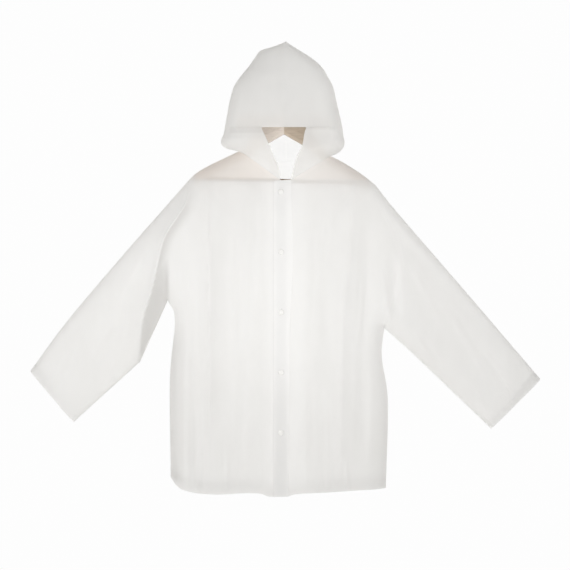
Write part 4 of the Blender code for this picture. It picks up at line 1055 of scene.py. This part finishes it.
def add_body(film, doubled, strip):
    """Fronts, back, placket strip and hems; returns the sheets of the fronts."""
    sheets = {side: front_sheet(side) for side in SIDES}
    for side, sheet in sheets.items():
        name = SIDE_NAME[side]
        front = add_layer(f"front_{name}", sheet, film)
        first = len(LAP_COLUMNS) - 1 if side == LEFT else 0
        turned = [add_layer(f"hem_{name}", sheet, doubled, INNER_LAYER,
                            np.s_[:HEM_ROW_COUNT, first:])]
        if side == LEFT:
            turned.append(add_layer("placket", sheet, strip, OUTER_LAYER,
                                    np.s_[:, :len(LAP_COLUMNS)]))
    sheet = back_sheet()
    back = add_layer("back", sheet, film)
    add_layer("hem_back", sheet, doubled, INNER_LAYER, np.s_[:HEM_ROW_COUNT])
    return sheets


def add_sleeve(side, film, doubled):
    """One sleeve and the turned-in layer at its cuff."""
    name = SIDE_NAME[side]
    sheet = sleeve_sheet(side)
    sleeve = add_layer(f"sleeve_{name}", sheet, film, wrap=True)
    cuff = add_layer(f"cuff_{name}", sheet, doubled, INNER_LAYER, np.s_[-CUFF_ROW_COUNT:],
                     wrap=True)


def add_hood(side, film, brim_film, doubled):
    """One half of the hood, with the turned-in layers of its brim and its face edge."""
    name = SIDE_NAME[side]
    whole, quads, lower, upper = hood_sheet(side)
    used, numbered = np.unique(quads, return_inverse=True)
    hood = add_shell(f"hood_{name}", *part_of(whole, used), numbered.reshape(quads.shape), film)
    lobe, crown = block(whole, 0, lower), block(whole, math.prod(lower), upper)
    brim_rows = int((crown.points[:, 0, 2] < HOOD_LEVELS[0].z + BRIM_TURNING).sum()) + 1
    brim = add_layer(f"brim_{name}", crown, brim_film, INNER_LAYER,
                     np.s_[:brim_rows, :SLIT_COLUMN])
    edge_columns = int((HOOD_FRONT <= FACE_TURNING).sum())
    edge = add_layer(f"face_edge_{name}", lobe, doubled, INNER_LAYER, np.s_[:, :edge_columns])


def add_snaps(sheets, plastic):
    """Caps on the placket strip and stud rings inside the under front."""
    for count in range(SNAP_COUNT):
        for half in SNAP_HALVES:
            node = f"{half.node}_{count + 1}"
            point, normal = on_sheet(sheets[half.side], SNAP_X, SNAP_TOP_Z - count * SNAP_PITCH)
            out = half.way * normal
            mesh = turned_mesh(node, half.profile, half.radius, half.height)
            add_piece(node, mesh, plastic, standing(point + out * half.lift, out))


def add_arms(wood):
    """The hanger's arms, with the full neck that shows right up to the brim."""
    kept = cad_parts["hanger_arms"]
    mesh = kept.data.copy()
    mesh.transform(kept.matrix_world)
    for vertex in mesh.vertices:
        if abs(abs(vertex.co.x) - NECK_RING_X) < NECK_RING_NEAR:
            vertex.co.z += NECK_LIFT * (vertex.co.z - NECK_RING_Z) / NECK_RING_HEIGHT
    mesh.materials.clear()
    add_piece("hanger_arms", mesh, wood)


def paint(node, material):
    """Give a solid that stays as it is its finish."""
    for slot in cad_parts[node].material_slots:
        slot.material = material


# ---- studio
FRAME_CENTRE, FRAME_SIZE = (0.0024, -0.489), 1.3937  # what the camera takes in at y = 0
CAMERA_AWAY = 6.0
SENSOR = 36.0
Lamp = namedtuple("Lamp", "name x y z wide high watts")
LAMPS = [
    Lamp("key", -0.16, -1.08, -0.52, 0.9, 0.3, 4.5),
    Lamp("side", -1.8, -1.6, -0.10, 0.7, 0.7, 14.6),
    Lamp("fill", 1.3, -1.4, 0.40, 0.8, 0.8, 13.5),
]
BACKDROP = 0.985  # the white that the camera sees all round
WALL_LIGHT, ROOM_LIGHT = 0.88, 0.10  # from the white wall behind, and from the room in front
LIGHT_TINT = (1.0, 0.985, 0.955)
FLOOR_Z, FLOOR_FADE, FLOOR_HALF = -1.9, 2.0, 5.6  # the floor fades out between the last two


def add_camera():
    """Camera in front of the jacket, level with its middle."""
    camera = bpy.data.cameras.new("camera")
    camera.sensor_width = SENSOR
    camera.lens = SENSOR * CAMERA_AWAY / FRAME_SIZE
    made = add_object("camera", camera)
    made.location = (FRAME_CENTRE[0], -CAMERA_AWAY, FRAME_CENTRE[1])
    made.rotation_euler = (math.pi / 2, 0, 0)
    bpy.context.scene.camera = made


def add_lamps():
    """Large soft lamps that don't show themselves."""
    aim = Vector((FRAME_CENTRE[0], 0, FRAME_CENTRE[1]))
    for lamp in LAMPS:
        light = bpy.data.lights.new(lamp.name, "AREA")
        light.shape = "RECTANGLE"
        light.size, light.size_y = lamp.wide, lamp.high
        light.energy = lamp.watts
        made = add_object(lamp.name, light)
        made.location = (lamp.x, lamp.y, lamp.z)
        made.rotation_euler = (aim - made.location).to_track_quat("-Z", "Y").to_euler()
        made.visible_camera = False
        made.visible_transmission = False


def add_world():
    """White all round as it is seen; as a light it is brightest behind the jacket."""
    nodes = Nodes(bpy.data.worlds.new("studio"))
    backwards = nodes.add("SeparateXYZ", {0: nodes.place("Generated")}, "Y")
    light = nodes.add("Background", {0: LIGHT_TINT, 1: nodes.ramp(backwards, ROOM_LIGHT, WALL_LIGHT,
                                                                  -0.5, 0.5)})
    seen = nodes.add("Background", {0: (1, 1, 1), 1: BACKDROP})
    camera_ray = nodes.add("LightPath", {}, "Is Camera Ray")
    bpy.context.scene.world = nodes.finish("World", nodes.mix(camera_ray, light, seen))


def floor_material():
    """Pale matt floor that fades out at its edge."""
    nodes = Nodes(bpy.data.materials.new("floor"))
    colour = nodes.colour(nodes.noise(3.0, 3.0), (0.86, 0.86, 0.85), (0.90, 0.90, 0.89))
    matt = nodes.add("BsdfPrincipled",
                     {"Base Color": colour, "Roughness": 0.8,
                      "Emission Color": (1.0, 0.995, 0.985), "Emission Strength": 0.30})
    away = nodes.add("VectorMath", {0: nodes.place()}, "Value", operation="LENGTH")
    clear = nodes.add("BsdfTransparent", {})
    faded = nodes.ramp(away, 0, 1, FLOOR_FADE, FLOOR_HALF)
    return nodes.finish("Material", nodes.mix(faded, matt, clear))


def add_floor():
    """Plain pale floor under the jacket."""
    mesh = bpy.data.meshes.new("floor")
    corners = [(x * FLOOR_HALF, y * FLOOR_HALF, 0) for x, y in ((-1, -1), (1, -1), (1, 1), (-1, 1))]
    mesh.from_pydata(corners, [], [(0, 1, 2, 3)])
    mesh.materials.append(floor_material())
    floor = add_object("floor", mesh)
    floor.location = (0, 0, FLOOR_Z)


def main():
    """Make the looks and the studio."""
    inside = inside_material()
    film = Finish("frosted_film", (film_material("frosted_film"), inside))
    hood_film_shaded = Finish("frosted_film", (film_material("hood_film_shaded"), inside))
    doubled = Finish("doubled_film", (film_material("doubled_film"), inside))
    strip = Finish("doubled_film", (film_material("placket_film"), inside))
    sheets = add_body(film, doubled, strip)
    for side in SIDES:
        add_sleeve(side, film, doubled)
        add_hood(side, hood_film_shaded, strip, doubled)
    add_snaps(sheets, Finish("snap_plastic", (snap_material(),)))
    arms = wood_material("varnished_wood", ARM_TINTS, right_paler=0.88, ends_paler=0.92)
    add_arms(Finish("varnished_wood", (arms,)))
    paint("hanger_bar", wood_material("varnished_bar", BAR_TINTS, left_paler=0.42))
    paint("hanger_hook", wire_material())
    add_camera()
    add_lamps()
    add_world()
    add_floor()
    bpy.context.scene.view_settings.view_transform = "Standard"


main()
